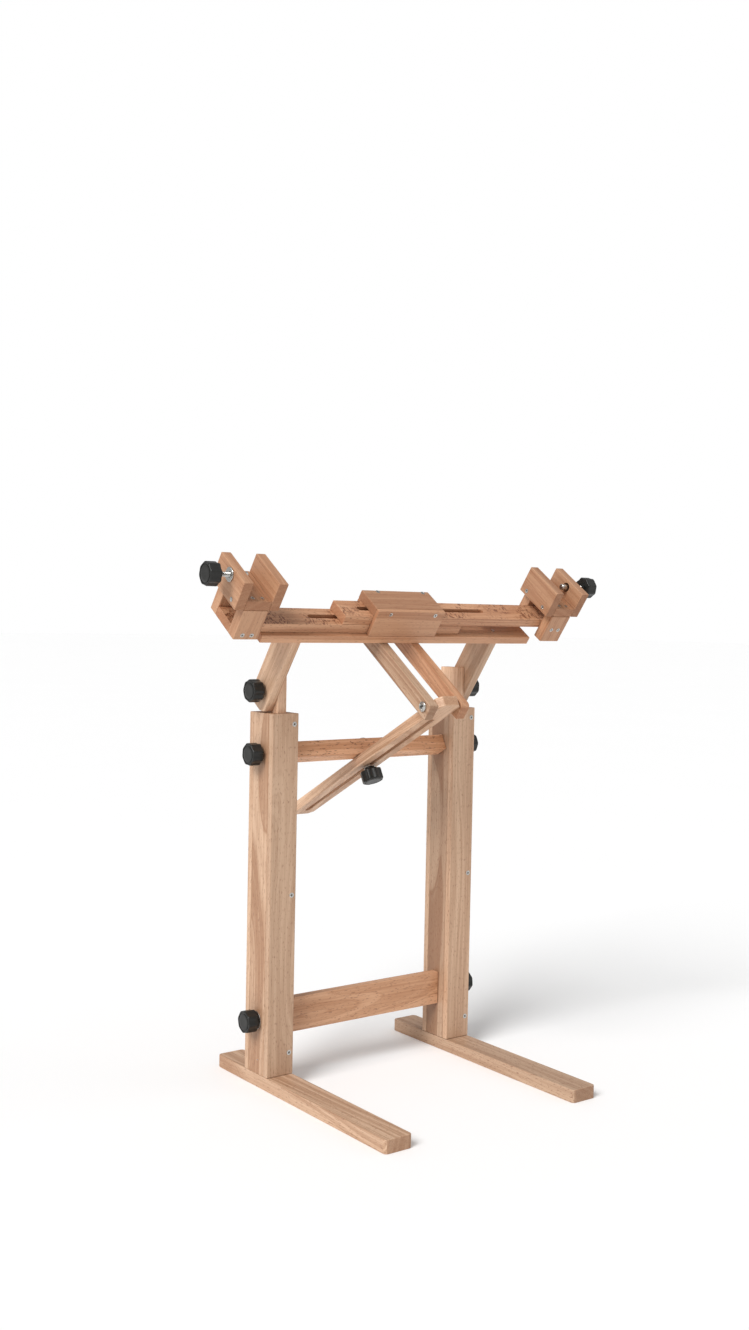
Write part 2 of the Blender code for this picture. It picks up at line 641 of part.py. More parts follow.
def build_brace(frame):
    """The slotted brace; its frame's y runs down along it, from its pivot."""
    half = BRACE_WIDTH / 2
    cut = BRACE_CHAMFER
    outline = [
        (-half, -BRACE_NOSE + cut), (-half + cut, -BRACE_NOSE), (half - cut, -BRACE_NOSE),
        (half, -BRACE_NOSE + cut), (half, BRACE_LENGTH - cut), (half - cut, BRACE_LENGTH),
        (-half + cut, BRACE_LENGTH), (-half, BRACE_LENGTH - cut),
    ]
    thick = (-LATH_STOCK / 2, LATH_STOCK / 2)
    brace = ease(add_object("brace", extruded(outline, 2, *thick), "beech", frame))
    cut_prism(brace, "cut_brace_slot",
              slot_outline(0.0, BRACE_SLOT_START, BRACE_SLOT_END, SLOT_RADIUS), 2,
              thick[0] - OVERCUT, thick[1] + OVERCUT)
    drill(brace, "cut_brace_pivot", 0, (0.0, 0.0), -half - OVERCUT, half + OVERCUT)


def build_brace_bolt(frame):
    """The pan-headed bolt through the struts and the brace, with its nut on the right."""
    reach = STRUT_INNER + LATH_STOCK + GAP
    head = [
        (STUD_RADIUS, 2 * reach + NUT_THICK + BOLT_PROUD), (STUD_RADIUS, 0.0),
        (PAN_HEAD_RADIUS, 0.0), (PAN_HEAD_RADIUS, -PAN_HEAD_HIGH / 2),
        (PAN_HEAD_RADIUS * DOME_TOP, -PAN_HEAD_HIGH),
    ]
    turned("brace_bolt", head, "steel", frame, (-reach, 0.0, 0.0), (0.0, math.pi / 2, 0.0))
    nut("brace_nut", frame, (reach, 0.0, 0.0), (0.0, math.pi / 2, 0.0))


def build_upper_rail(frame):
    """The square rail that turns with the brace, bored for its studs and the brace's bolt."""
    end = COLUMN_INNER - GAP
    half = UPPER_RAIL_SQUARE / 2
    rail = board("upper_rail", (-end, end), (-half, half), (-half, half), frame)
    for side in SIDES:
        low, high = facing(side, end - STUD_GRIP - OVERCUT / 2, end + OVERCUT)
        drill(rail, f"cut_upper_rail_{side}", 0, (0.0, 0.0), low, high)
    drill(rail, "cut_upper_rail_bolt", 2, (MIDDLE_X, 0.0), -half - OVERCUT, half + OVERCUT)


def build_brace_lock(rail_frame):
    """The domed bolt through rail and brace, with the washer and knob under the brace."""
    half = UPPER_RAIL_SQUARE / 2
    washer_top = -(half + BRACE_RAIL_GAP + LATH_STOCK + BRACE_WASHER_GAP)
    knob_top = washer_top - WASHER_THICK - GAP
    bolt = [
        (STUD_RADIUS, knob_top - STUD_IN_KNOB), (STUD_RADIUS, half + GAP),
        (CARRIAGE_HEAD_RADIUS, half + GAP), (CARRIAGE_HEAD_RADIUS, half + CARRIAGE_HEAD_HIGH / 2),
        (CARRIAGE_HEAD_RADIUS * DOME_TOP, half + CARRIAGE_HEAD_HIGH),
    ]
    turned("brace_stud", bolt, "steel", rail_frame, (MIDDLE_X, 0.0, 0.0))
    washer = [
        (HOLE_RADIUS, 0.0), (HOLE_RADIUS, -WASHER_THICK), (WASHER_RADIUS, -WASHER_THICK),
        (WASHER_RADIUS, 0.0),
    ]
    ring_piece("brace_washer", washer, rail_frame, (MIDDLE_X, 0.0, washer_top), (0.0, 0.0, 0.0))
    threaded_knob("brace_knob", rail_frame, (MIDDLE_X, 0.0, knob_top), (math.pi, 0.0, 0.0))


def main():
    """Empty the scene and build the stand at its rest setting."""
    for old in list(bpy.data.objects):
        bpy.data.objects.remove(old)

    stand = make_frame("stand", None, (0.0, STAND_Y, 0.0))
    for side in SIDES:
        build_foot(side, stand)
        build_column(side, stand)
        build_slider(side, stand)
        build_column_knobs(side, stand)
    build_lower_rail(stand)

    head = make_frame("tilt_axis", stand, (0.0, 0.0, PIVOT_Z), TILT)
    build_base_board(head)
    build_cover(head)
    build_lock_bolt(head)
    build_struts(head)
    for side in SIDES:
        build_arm(side, head)
        slide = make_frame(f"{side}_bar_slide", head)
        build_bar(side, slide)
        build_clamp(side, slide)
        build_clamp_screw(side, slide)

    pivot = (MIDDLE_X, -BRACE_PIVOT_FORWARD, BRACE_PIVOT_Z)
    brace_axis = make_frame("brace_axis", head, pivot, -BRACE_SLOPE - TILT)
    build_brace(brace_axis)
    build_brace_bolt(brace_axis)

    rail_axis = make_frame("rail_axis", stand, (0.0, 0.0, UPPER_RAIL_Z), -BRACE_SLOPE)
    build_upper_rail(rail_axis)
    build_brace_lock(rail_axis)


main()
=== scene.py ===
"""Looks of the beech needlework stand, laid out as an add-on and run as a script.

Sizes are in metres.  The head frame is the tilted part's own: x along the base board, y away from
the stitcher, z square to the base board, from the tilt axis.
"""
import json
import math

import bpy
import numpy as np
from mathutils import Matrix, Vector


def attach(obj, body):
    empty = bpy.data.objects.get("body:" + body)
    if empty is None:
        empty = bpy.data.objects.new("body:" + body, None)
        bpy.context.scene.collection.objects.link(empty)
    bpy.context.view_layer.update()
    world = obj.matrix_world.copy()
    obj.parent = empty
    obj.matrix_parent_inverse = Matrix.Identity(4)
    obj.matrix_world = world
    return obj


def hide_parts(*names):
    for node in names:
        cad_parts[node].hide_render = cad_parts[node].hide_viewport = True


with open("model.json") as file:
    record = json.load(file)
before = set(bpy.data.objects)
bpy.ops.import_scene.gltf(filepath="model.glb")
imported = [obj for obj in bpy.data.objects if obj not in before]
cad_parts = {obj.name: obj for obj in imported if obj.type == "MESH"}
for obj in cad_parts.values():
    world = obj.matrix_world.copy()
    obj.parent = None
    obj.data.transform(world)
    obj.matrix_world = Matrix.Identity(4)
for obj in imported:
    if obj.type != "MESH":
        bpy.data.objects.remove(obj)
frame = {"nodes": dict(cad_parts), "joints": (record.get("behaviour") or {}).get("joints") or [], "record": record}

bl_info = {
    "name": "Beech Needlework Stand",
    "version": (1, 0, 0),
    "blender": (4, 5, 0),
    "location": "View3D > Sidebar > Stand",
    "description": "Finishes a beech stand with fluted knobs, threaded screws and oiled wood",
    "category": "Object",
}

MM = 0.001
SIDES = ("left", "right")

# Camera, in the stand's own metres
CAMERA_PLACE = (-1.13465, -1.46180, 0.62052)
CAMERA_YAW = math.radians(36.92)
CAMERA_PITCH = math.radians(-2.1)
CAMERA_ROLL = math.radians(1.12)
CAMERA_SENSOR = 36.0
CAMERA_LENS = 37.61

# Turned and moulded shapes
KNOB_SIDES = 96
SCREW_SIDES = 40
STUD_SIDES = 28
NUT_SIDES = 60
FLANGE_SIDES = 64
PIN_SIDES = 16
SHARP_EDGE = math.radians(32)
ROWS_PER_THREAD = 6


# ---------------------------------------------------------------- frame of the tilted pieces

def node_points(node):
    """All the vertices of a carried-over node, as an array of world points."""
    mesh = frame["nodes"][node].data
    points = np.empty(len(mesh.vertices) * 3, np.float32)
    mesh.vertices.foreach_get("co", points)
    return points.reshape(-1, 3).astype(float)


def broad_side(node):
    """Unit normal of the node's largest flat side: areas are summed over equal normals."""
    mesh = frame["nodes"][node].data
    mesh.calc_loop_triangles()
    count = len(mesh.loop_triangles)
    areas = np.empty(count, np.float32)
    normals = np.empty(count * 3, np.float32)
    mesh.loop_triangles.foreach_get("area", areas)
    mesh.loop_triangles.foreach_get("normal", normals)
    normals = normals.reshape(-1, 3)
    kinds, which = np.unique(normals.round(3), axis=0, return_inverse=True)
    total = np.bincount(which.ravel(), weights=areas)
    best = kinds[total.argmax()]
    return Vector(best if best[2] > 0 else -best).normalized()


JOINT_NAMES = {entry["name"] for entry in frame["joints"]}


def joint(name):
    """The record's joint of that name."""
    return next(entry for entry in frame["joints"] if entry["name"] == name)


class Local:
    """A right-handed frame with x along the world's x and z along a given normal."""

    def __init__(self, origin, normal):
        self.origin = Vector(origin)
        self.x = Vector((1.0, 0.0, 0.0))
        self.z = Vector(normal).normalized()
        self.y = self.z.cross(self.x)

    def box(self, node):
        """The node's lowest and highest corners, measured along this frame's axes."""
        axes = np.array([self.x, self.y, self.z])
        points = (node_points(node) - np.array(self.origin)) @ axes.T
        return points.min(0), points.max(0)

    def point(self, x, y, z):
        """A point of this frame, in the world."""
        return self.origin + self.x * x + self.y * y + self.z * z

    def direction(self, x, y, z):
        """A direction of this frame, in the world."""
        return self.x * x + self.y * y + self.z * z


WORLD = Local((0.0, 0.0, 0.0), (0.0, 0.0, 1.0))
HEAD = Local(joint("tilt")["pos_m"], broad_side("base_board"))
BRACE = Local(joint("brace_swing")["pos_m"], broad_side("brace"))


def body_of(node):
    """Name of the rigid body that carries a node."""
    bodies = frame["record"]["behaviour"]["bodies"]
    return next(body for body, nodes in bodies.items() if node in nodes)


# ---------------------------------------------------------------- sizes and colours to set

class StandSizes(bpy.types.PropertyGroup):
    """Sizes of the fittings."""

    knob_flute: bpy.props.FloatProperty(
        name="Knob flute", description="Depth of a knob's flutes", default=1.5 * MM,
        min=0.0, subtype="DISTANCE", unit="LENGTH")
    thread_pitch: bpy.props.FloatProperty(
        name="Thread pitch", description="Distance between the turns of a thread",
        default=1.0 * MM, min=0.2 * MM, subtype="DISTANCE", unit="LENGTH")
    thread_depth: bpy.props.FloatProperty(
        name="Thread depth", description="Height of a thread over its root",
        default=0.5 * MM, min=0.0, subtype="DISTANCE", unit="LENGTH")
    screw_head: bpy.props.FloatProperty(
        name="Screw head", description="Radius of a countersunk screw's head",
        default=3.3 * MM, min=1.0 * MM, subtype="DISTANCE", unit="LENGTH")
    small_screw_head: bpy.props.FloatProperty(
        name="Small screw head", description="Radius of the clamps' smaller screws",
        default=2.9 * MM, min=1.0 * MM, subtype="DISTANCE", unit="LENGTH")
    nail_head: bpy.props.FloatProperty(
        name="Nail head", description="Radius of a panel pin's head",
        default=0.9 * MM, min=0.2 * MM, subtype="DISTANCE", unit="LENGTH")


class StandColours(bpy.types.PropertyGroup):
    """Colours of the wood, the plastic and the plated steel."""

    pale_light: bpy.props.FloatVectorProperty(
        name="Pale beech, light", description="Light wood of the columns", subtype="COLOR",
        default=(0.66, 0.442, 0.295), min=0.0, max=1.0)
    pale_dark: bpy.props.FloatVectorProperty(
        name="Pale beech, dark", description="Growth bands of the columns", subtype="COLOR",
        default=(0.39, 0.208, 0.115), min=0.0, max=1.0)
    warm_light: bpy.props.FloatVectorProperty(
        name="Warm beech, light", description="Light wood of the feet and rails",
        subtype="COLOR", default=(0.68, 0.385, 0.225), min=0.0, max=1.0)
    warm_dark: bpy.props.FloatVectorProperty(
        name="Warm beech, dark", description="Growth bands of the feet and rails",
        subtype="COLOR", default=(0.43, 0.190, 0.085), min=0.0, max=1.0)
    rosy_light: bpy.props.FloatVectorProperty(
        name="Rosy beech, light", description="Light wood of the bars, cover and clamps",
        subtype="COLOR", default=(0.60, 0.330, 0.188), min=0.0, max=1.0)
    rosy_dark: bpy.props.FloatVectorProperty(
        name="Rosy beech, dark", description="Growth bands of the bars, cover and clamps",
        subtype="COLOR", default=(0.38, 0.160, 0.074), min=0.0, max=1.0)
    fleck: bpy.props.FloatVectorProperty(
        name="Ray flecks", description="Short dark flecks in the beech", subtype="COLOR",
        default=(0.17, 0.055, 0.022), min=0.0, max=1.0)
    plastic: bpy.props.FloatVectorProperty(
        name="Knob plastic", description="Black moulded plastic", subtype="COLOR",
        default=(0.011, 0.011, 0.010), min=0.0, max=1.0)
    zinc: bpy.props.FloatVectorProperty(
        name="Zinc plate", description="Bright plated steel", subtype="COLOR",
        default=(0.62, 0.61, 0.58), min=0.0, max=1.0)
    floor: bpy.props.FloatVectorProperty(
        name="Floor", description="Plain pale floor", subtype="COLOR",
        default=(0.97, 0.97, 0.97), min=0.0, max=1.0)


# ---------------------------------------------------------------- shader node groups

def new_group(name, inputs, outputs):
    """A shader group with its interface: each socket is (name, type, default)."""
    group = bpy.data.node_groups.new(name, "ShaderNodeTree")
    for label, kind, default in inputs:
        socket = group.interface.new_socket(label, in_out="INPUT", socket_type=kind)
        if default is not None:
            socket.default_value = default
    for label, kind in outputs:
        group.interface.new_socket(label, in_out="OUTPUT", socket_type=kind)
    start = group.nodes.new("NodeGroupInput")
    end = group.nodes.new("NodeGroupOutput")
    return group, start.outputs, end.inputs


def wire(tree, source, target):
    """Link a socket, or set a plain value, on a target socket."""
    if isinstance(source, bpy.types.NodeSocket):
        tree.links.new(source, target)
    elif source is not None:
        target.default_value = source


def calculate(tree, operation, first, second=None, third=None, clamp=False):
    """A Math node's result."""
    node = tree.nodes.new("ShaderNodeMath")
    node.operation = operation
    node.use_clamp = clamp
    for value, socket in zip((first, second, third), node.inputs):
        wire(tree, value, socket)
    return node.outputs[0]


def vector_step(tree, operation, first, second=None):
    """A Vector Math node's vector result."""
    node = tree.nodes.new("ShaderNodeVectorMath")
    node.operation = operation
    wire(tree, first, node.inputs[0])
    wire(tree, second, node.inputs[1])
    return node.outputs["Value" if operation in {"LENGTH", "DOT_PRODUCT"} else "Vector"]


def noise(tree, vector, scale, detail=2.0, roughness=0.5):
    """A Noise texture's grey value, about 0 to 1."""
    node = tree.nodes.new("ShaderNodeTexNoise")
    node.inputs["Scale"].default_value = scale
    node.inputs["Detail"].default_value = detail
    node.inputs["Roughness"].default_value = roughness
    wire(tree, vector, node.inputs["Vector"])
    return node.outputs["Fac"]


def noise_along(tree, value, scale, detail=2.0):
    """A Noise texture along one value, for bands of uneven width."""
    node = tree.nodes.new("ShaderNodeTexNoise")
    node.noise_dimensions = "1D"
    node.inputs["Scale"].default_value = scale
    node.inputs["Detail"].default_value = detail
    wire(tree, value, node.inputs["W"])
    return node.outputs["Fac"]


def ramp(tree, value, low, high):
    """A smooth step from 0 at low to 1 at high."""
    node = tree.nodes.new("ShaderNodeMapRange")
    node.interpolation_type = "SMOOTHSTEP"
    wire(tree, value, node.inputs["Value"])
    node.inputs["From Min"].default_value = low
    node.inputs["From Max"].default_value = high
    return node.outputs["Result"]


def mix_colour(tree, factor, first, second):
    """A colour mixed from two others."""
    node = tree.nodes.new("ShaderNodeMix")
    node.data_type = "RGBA"
    wire(tree, factor, node.inputs[0])
    wire(tree, first, node.inputs[6])
    wire(tree, second, node.inputs[7])
    return node.outputs[2]


# Noise scales per metre, across the grain twice and along it
BEND_SCALE = (13.0, 13.0, 2.4)
FIBRE_SCALE = (820.0, 820.0, 15.0)
STREAK_SCALE = (300.0, 300.0, 3.2)
BROAD_SCALE = (26.0, 26.0, 2.6)
FLECK_SCALE = (760.0, 760.0, 170.0)
CHATTER_SCALE = (210.0, 210.0, 430.0)
CHATTER_PATCH_SCALE = 34.0
PORE_SCALE = 1400.0
SMUDGE_SCALE = 110.0
SCUFF_SCALE = 2600.0
# How far each noise moves the wood from its light to its dark colour
BEND_REACH = 0.055      # metres that the growth bands are bent by
RING_LINE = 0.55
RING_LINE_WIDTH = 0.030
FIBRE_DEPTH = 1.25
STREAK_DEPTH = 0.8
BROAD_DEPTH = 1.1
BASE_DEPTH = 0.16


def beech_group():
    """Beech seen along its grain, which runs along the vector's z.

    Growth bands follow the distance to a pith line beside the board, bent by slow noise, with a
    thin dark line where a ring ends. Fibres and ray flecks are noise drawn out along the grain,
    and the end grain is darker.
    """
    inputs = [
        ("Vector", "NodeSocketVector", None), ("Facing", "NodeSocketVector", None),
        ("Light", "NodeSocketColor", None), ("Dark", "NodeSocketColor", None),
        ("Fleck", "NodeSocketColor", None), ("Band Strength", "NodeSocketFloat", 0.6),
        ("Band Density", "NodeSocketFloat", 170.0), ("Fleck Strength", "NodeSocketFloat", 0.5),
    ]
    outputs = [("Color", "NodeSocketColor"), ("Roughness", "NodeSocketFloat"),
               ("Height", "NodeSocketFloat")]
    tree, given, result = new_group("beech_grain", inputs, outputs)
    place = given["Vector"]
    slow = vector_step(tree, "MULTIPLY", place, BEND_SCALE)
    bend = calculate(tree, "SUBTRACT", noise(tree, slow, 1.0, 1.0), 0.5)
    flat = vector_step(tree, "MULTIPLY", place, (1.0, 1.0, 0.0))
    across = vector_step(tree, "LENGTH", flat)
    bent = calculate(tree, "MULTIPLY_ADD", bend, BEND_REACH, across)
    rings = noise_along(tree, calculate(tree, "MULTIPLY", bent, given["Band Density"]), 1.0, 3.0)
    bands = ramp(tree, rings, 0.38, 0.66)
    distance = calculate(tree, "ABSOLUTE", calculate(tree, "SUBTRACT", rings, 0.52))
    lines = calculate(tree, "SUBTRACT", 1.0, ramp(tree, distance, 0.0, RING_LINE_WIDTH))
    bands = calculate(tree, "MULTIPLY_ADD", lines, RING_LINE, bands)

    fibres = noise(tree, vector_step(tree, "MULTIPLY", place, FIBRE_SCALE), 1.0, 3.0, 0.65)
    streaks = noise(tree, vector_step(tree, "MULTIPLY", place, STREAK_SCALE), 1.0, 2.0)
    broad = noise(tree, vector_step(tree, "MULTIPLY", place, BROAD_SCALE), 1.0, 1.0)

    fleck_place = vector_step(tree, "MULTIPLY", place, FLECK_SCALE)
    flecks = ramp(tree, noise(tree, fleck_place, 1.0, 1.0), 0.61, 0.70)
    flecks = calculate(tree, "MULTIPLY", flecks, given["Fleck Strength"])

    depth = calculate(tree, "MULTIPLY", bands, given["Band Strength"])
    for grey, strength in ((fibres, FIBRE_DEPTH), (streaks, STREAK_DEPTH), (broad, BROAD_DEPTH)):
        centred = calculate(tree, "SUBTRACT", grey, 0.5)
        depth = calculate(tree, "MULTIPLY_ADD", centred, strength, depth)
    depth = calculate(tree, "ADD", depth, BASE_DEPTH, clamp=True)
    colour = mix_colour(tree, depth, given["Light"], given["Dark"])
    colour = mix_colour(tree, flecks, colour, given["Fleck"])

    grain_end = vector_step(tree, "DOT_PRODUCT", given["Facing"], (0.0, 0.0, 1.0))
    grain_end = ramp(tree, calculate(tree, "ABSOLUTE", grain_end), 0.75, 0.98)
    pores = ramp(tree, noise(tree, place, PORE_SCALE, 2.0), 0.42, 0.62)
    darkened = mix_colour(tree, 0.55, colour, given["Dark"])
    darkened = mix_colour(tree, calculate(tree, "MULTIPLY", pores, 0.22), darkened, given["Fleck"])
    colour = mix_colour(tree, grain_end, colour, darkened)

    rough = calculate(tree, "MULTIPLY_ADD", fibres, 0.18, 0.42)
    rough = calculate(tree, "MULTIPLY_ADD", grain_end, 0.18, rough)
    height = calculate(tree, "MULTIPLY_ADD", flecks, -0.8, fibres)
    wire(tree, colour, result["Color"])
    wire(tree, rough, result["Roughness"])
    wire(tree, height, result["Height"])
    return tree


def chatter_group():
    """Marks that a blunt planer leaves across the grain on one side of a bar.

    Dashes stand across the grain in rows; they show only where the surface faces along y.
    """
    inputs = [("Vector", "NodeSocketVector", None), ("Facing", "NodeSocketVector", None),
              ("Strength", "NodeSocketFloat", 0.6)]
    tree, given, result = new_group("planer_chatter", inputs, [("Mask", "NodeSocketFloat")])
    slanted = vector_step(tree, "MULTIPLY", given["Vector"], CHATTER_SCALE)
    dashes = ramp(tree, noise(tree, slanted, 1.0, 1.0), 0.52, 0.60)
    patches = ramp(tree, noise(tree, given["Vector"], CHATTER_PATCH_SCALE, 1.0), 0.38, 0.54)
    up = vector_step(tree, "DOT_PRODUCT", given["Facing"], (0.0, 1.0, 0.0))
    facing = ramp(tree, up, 0.80, 0.98)
    mask = calculate(tree, "MULTIPLY", calculate(tree, "MULTIPLY", dashes, patches), facing)
    wire(tree, calculate(tree, "MULTIPLY", mask, given["Strength"]), result["Mask"])
    return tree


def handling_group():
    """Smudges and fine scuffs that vary a surface's roughness."""
    inputs = [("Vector", "NodeSocketVector", None), ("Roughness", "NodeSocketFloat", 0.4),
              ("Spread", "NodeSocketFloat", 0.15)]
    outputs = [("Roughness", "NodeSocketFloat"), ("Height", "NodeSocketFloat"),
               ("Smudge", "NodeSocketFloat")]
    tree, given, result = new_group("handling_marks", inputs, outputs)
    smudge = noise(tree, given["Vector"], SMUDGE_SCALE, 3.0, 0.6)
    centred = calculate(tree, "SUBTRACT", smudge, 0.5)
    rough = calculate(tree, "MULTIPLY_ADD", centred, given["Spread"], given["Roughness"])
    wire(tree, rough, result["Roughness"])
    wire(tree, noise(tree, given["Vector"], SCUFF_SCALE, 2.0), result["Height"])
    wire(tree, smudge, result["Smudge"])
    return tree


SHARED = {}     # the node groups and the two shared materials, by name


def placed_group(tree, name):
    """A group node of one of the shared groups."""
    node = tree.nodes.new("ShaderNodeGroup")
    node.node_tree = SHARED[name]
    return node


def new_material(name):
    """A material with its Principled BSDF, and its tree."""
    material = bpy.data.materials.new(name)
    material.use_nodes = True
    return material, material.node_tree, material.node_tree.nodes["Principled BSDF"]


def bump(tree, height, shader, distance, strength):
    """A Bump node between a height and the shader's Normal."""
    node = tree.nodes.new("ShaderNodeBump")
    node.inputs["Strength"].default_value = strength
    node.inputs["Distance"].default_value = distance
    wire(tree, height, node.inputs["Height"])
    wire(tree, node.outputs["Normal"], shader.inputs["Normal"])


# ---------------------------------------------------------------- materials

def turned_to_grain(tree, source, grain, face, offset):
    """A Mapping node that turns the grain to z and the board's face to y."""
    along = Vector(grain).normalized()
    out = (Vector(face) - along * Vector(face).dot(along)).normalized()
    beside = out.cross(along)
    turn = Matrix((beside, out, along)).to_euler()
    node = tree.nodes.new("ShaderNodeMapping")
    node.inputs["Rotation"].default_value = turn
    node.inputs["Location"].default_value = offset
    wire(tree, source, node.inputs["Vector"])
    return node.outputs["Vector"]


def shaded(colour, shade):
    """A colour made lighter or darker by a factor, with full alpha."""
    return (*(min(1.0, value * shade) for value in colour), 1.0)


def beech_material(name, tone, shade, grain, face, offset, bands, density, flecks, chatter):
    """Oiled beech for one board, with its own grain direction and its own place in the log."""
    colours = bpy.context.scene.stand_colours
    material, tree, shader = new_material(name)
    place = tree.nodes.new("ShaderNodeTexCoord")
    vector = turned_to_grain(tree, place.outputs["Object"], grain, face, offset)
    facing = turned_to_grain(tree, place.outputs["Normal"], grain, face, (0.0, 0.0, 0.0))
    wood = placed_group(tree, "beech")
    wire(tree, vector, wood.inputs["Vector"])
    wire(tree, facing, wood.inputs["Facing"])
    wood.inputs["Light"].default_value = shaded(getattr(colours, tone + "_light"), shade)
    wood.inputs["Dark"].default_value = shaded(getattr(colours, tone + "_dark"), shade)
    wood.inputs["Fleck"].default_value = (*colours.fleck, 1.0)
    wood.inputs["Band Strength"].default_value = bands
    wood.inputs["Band Density"].default_value = density
    wood.inputs["Fleck Strength"].default_value = flecks
    colour, height = wood.outputs["Color"], wood.outputs["Height"]
    if chatter:
        marks = placed_group(tree, "chatter")
        wire(tree, vector, marks.inputs["Vector"])
        wire(tree, facing, marks.inputs["Facing"])
        marks.inputs["Strength"].default_value = chatter
        colour = mix_colour(tree, marks.outputs["Mask"], colour, (*colours.fleck, 1.0))
        height = calculate(tree, "MULTIPLY_ADD", marks.outputs["Mask"], -1.5, height)
    wire(tree, colour, shader.inputs["Base Color"])
    wire(tree, wood.outputs["Roughness"], shader.inputs["Roughness"])
    bump(tree, height, shader, 0.25 * MM, 0.35)
    return material


def plastic_material():
    """Black moulded plastic with a fine spark-eroded texture and handling smudges."""
    material, tree, shader = new_material("moulded_black")
    place = tree.nodes.new("ShaderNodeTexCoord")
    marks = placed_group(tree, "handling")
    wire(tree, place.outputs["Object"], marks.inputs["Vector"])
    marks.inputs["Roughness"].default_value = 0.33
    marks.inputs["Spread"].default_value = 0.22
    base = bpy.context.scene.stand_colours.plastic
    worn = tuple(min(1.0, 1.9 * value) for value in base)
    colour = mix_colour(tree, marks.outputs["Smudge"], (*base, 1.0), (*worn, 1.0))
    wire(tree, colour, shader.inputs["Base Color"])
    wire(tree, marks.outputs["Roughness"], shader.inputs["Roughness"])
    shader.inputs["Specular IOR Level"].default_value = 0.32
    bump(tree, marks.outputs["Height"], shader, 0.06 * MM, 0.35)
    return material


def zinc_material():
    """Bright zinc plate, dulled in patches, with painted shade: near black inside a cross recess."""
    material, tree, shader = new_material("zinc_plate")
    place = tree.nodes.new("ShaderNodeTexCoord")
    marks = placed_group(tree, "handling")
    wire(tree, place.outputs["Object"], marks.inputs["Vector"])
    marks.inputs["Roughness"].default_value = 0.27
    marks.inputs["Spread"].default_value = 0.30
    # painted shade: the 'recess' point attribute marks each screw head's cross recess, where shade would fall
    shade = tree.nodes.new("ShaderNodeAttribute")
    shade.attribute_name = "recess"
    base = bpy.context.scene.stand_colours.zinc
    dull = tuple(0.72 * value for value in base)
    colour = mix_colour(tree, marks.outputs["Smudge"], (*base, 1.0), (*dull, 1.0))
    # painted shade: the cross recess is coloured near black, standing in for the shade inside it
    colour = mix_colour(tree, shade.outputs["Fac"], colour, (0.10, 0.085, 0.07, 1.0))
    wire(tree, colour, shader.inputs["Base Color"])
    wire(tree, marks.outputs["Roughness"], shader.inputs["Roughness"])
    shader.inputs["Metallic"].default_value = 1.0
    bump(tree, marks.outputs["Height"], shader, 0.04 * MM, 0.25)
    return material


# ---------------------------------------------------------------- surfaces

def angles(count):
    """Equally spaced angles round a full turn, as a row."""
    return np.arange(count) * (2 * math.pi / count)


def turned_rings(profile, sides):
    """Rings of a turned shape: radius and height from the profile, swept round z."""
    profile = np.asarray(profile, float)
    turn = angles(sides)[None, :]
    radius, height = profile[:, :1], profile[:, 1:2]
    return np.stack([radius * np.cos(turn), radius * np.sin(turn),
                     height + 0 * turn], axis=-1)


def skin(name, rings, material, place, hollow=False, shade=None):
    """A closed mesh over rings of points, in the world, with smooth faces.

    Each ring joins the next by quads. The first and last rings end in fans round their centres,
    or meet each other when the shape is hollow right through.
    """
    rows, sides = rings.shape[:2]
    index = np.arange(rows * sides).reshape(rows, sides)
    lower = index if hollow else index[:-1]
    upper = np.roll(index, -1, axis=0) if hollow else index[1:]
    quads = np.stack([lower, np.roll(lower, -1, axis=1), np.roll(upper, -1, axis=1), upper], -1)
    faces = quads.reshape(-1, 4).tolist()
    points = rings.reshape(-1, 3)
    if not hollow:
        points = np.vstack([points, rings[0].mean(0), rings[-1].mean(0)])
        first, last = rows * sides, rows * sides + 1
        start, end = index[0], index[-1]
        faces += np.stack([np.full(sides, first), np.roll(start, -1), start], 1).tolist()
        faces += np.stack([np.full(sides, last), end, np.roll(end, -1)], 1).tolist()
    turn = np.array(place.to_3x3())
    points = points @ turn.T + np.array(place.translation)
    mesh = bpy.data.meshes.new(name)
    mesh.from_pydata(points.tolist(), [], faces)
    mesh.shade_smooth()
    mesh.set_sharp_from_angle(angle=SHARP_EDGE)
    # painted shade: per-point share of the cross recess, stored as the 'recess' attribute and darkened by the zinc
    # material
    if shade is not None:
        values = np.append(shade.reshape(-1), np.zeros(0 if hollow else 2))
        if not hollow:
            values[-1] = shade[-1].mean()
        layer = mesh.attributes.new("recess", "FLOAT", "POINT")
        layer.data.foreach_set("value", values.astype(np.float32))
    mesh.materials.append(material)
    piece = bpy.data.objects.new(name, mesh)
    bpy.context.collection.objects.link(piece)
    return piece


def carry_steel(piece, body):
    """Let a steel piece ride on a body."""
    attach(piece, body)


def standing(point, direction, spin=0.0):
    """A placing matrix whose z runs along a direction, from a point."""
    turn = Vector(direction).to_track_quat("Z", "Y").to_matrix().to_4x4()
    return Matrix.Translation(point) @ turn @ Matrix.Rotation(spin, 4, "Z")


def rounded(corner_radius, outer, low, high, steps=5):
    """Profile points round two outer corners, from the lower one to the upper one."""
    sweep = np.linspace(0.0, math.pi / 2, steps)
    lower = [(outer - corner_radius + corner_radius * math.sin(a),
              low + corner_radius - corner_radius * math.cos(a)) for a in sweep]
    upper = [(outer - corner_radius + corner_radius * math.cos(a),
              high - corner_radius + corner_radius * math.sin(a)) for a in sweep]
    return lower + upper


# ---------------------------------------------------------------- knobs

KNOB_LOBES = 8
KNOB_RADIUS = 15.0 * MM
KNOB_BODY = 16.0 * MM
KNOB_HUB = 3.5 * MM
KNOB_HUB_RADIUS = 7.0 * MM
KNOB_CORNER = 2.0 * MM
CAP_RADIUS = 10.8 * MM
CAP_GROOVE = 0.9 * MM
CAP_GROOVE_WIDTH = 1.2 * MM
CAP_DISH = 0.25 * MM
KNOB_TURN_STEP = 0.31      # radians from one knob to the next
THREAD_HOLE = 3.3 * MM
THREAD_HOLE_DEPTH = 15.0 * MM
WASHER_THICK = 1.2 * MM
WASHER_RADIUS = 12.0 * MM


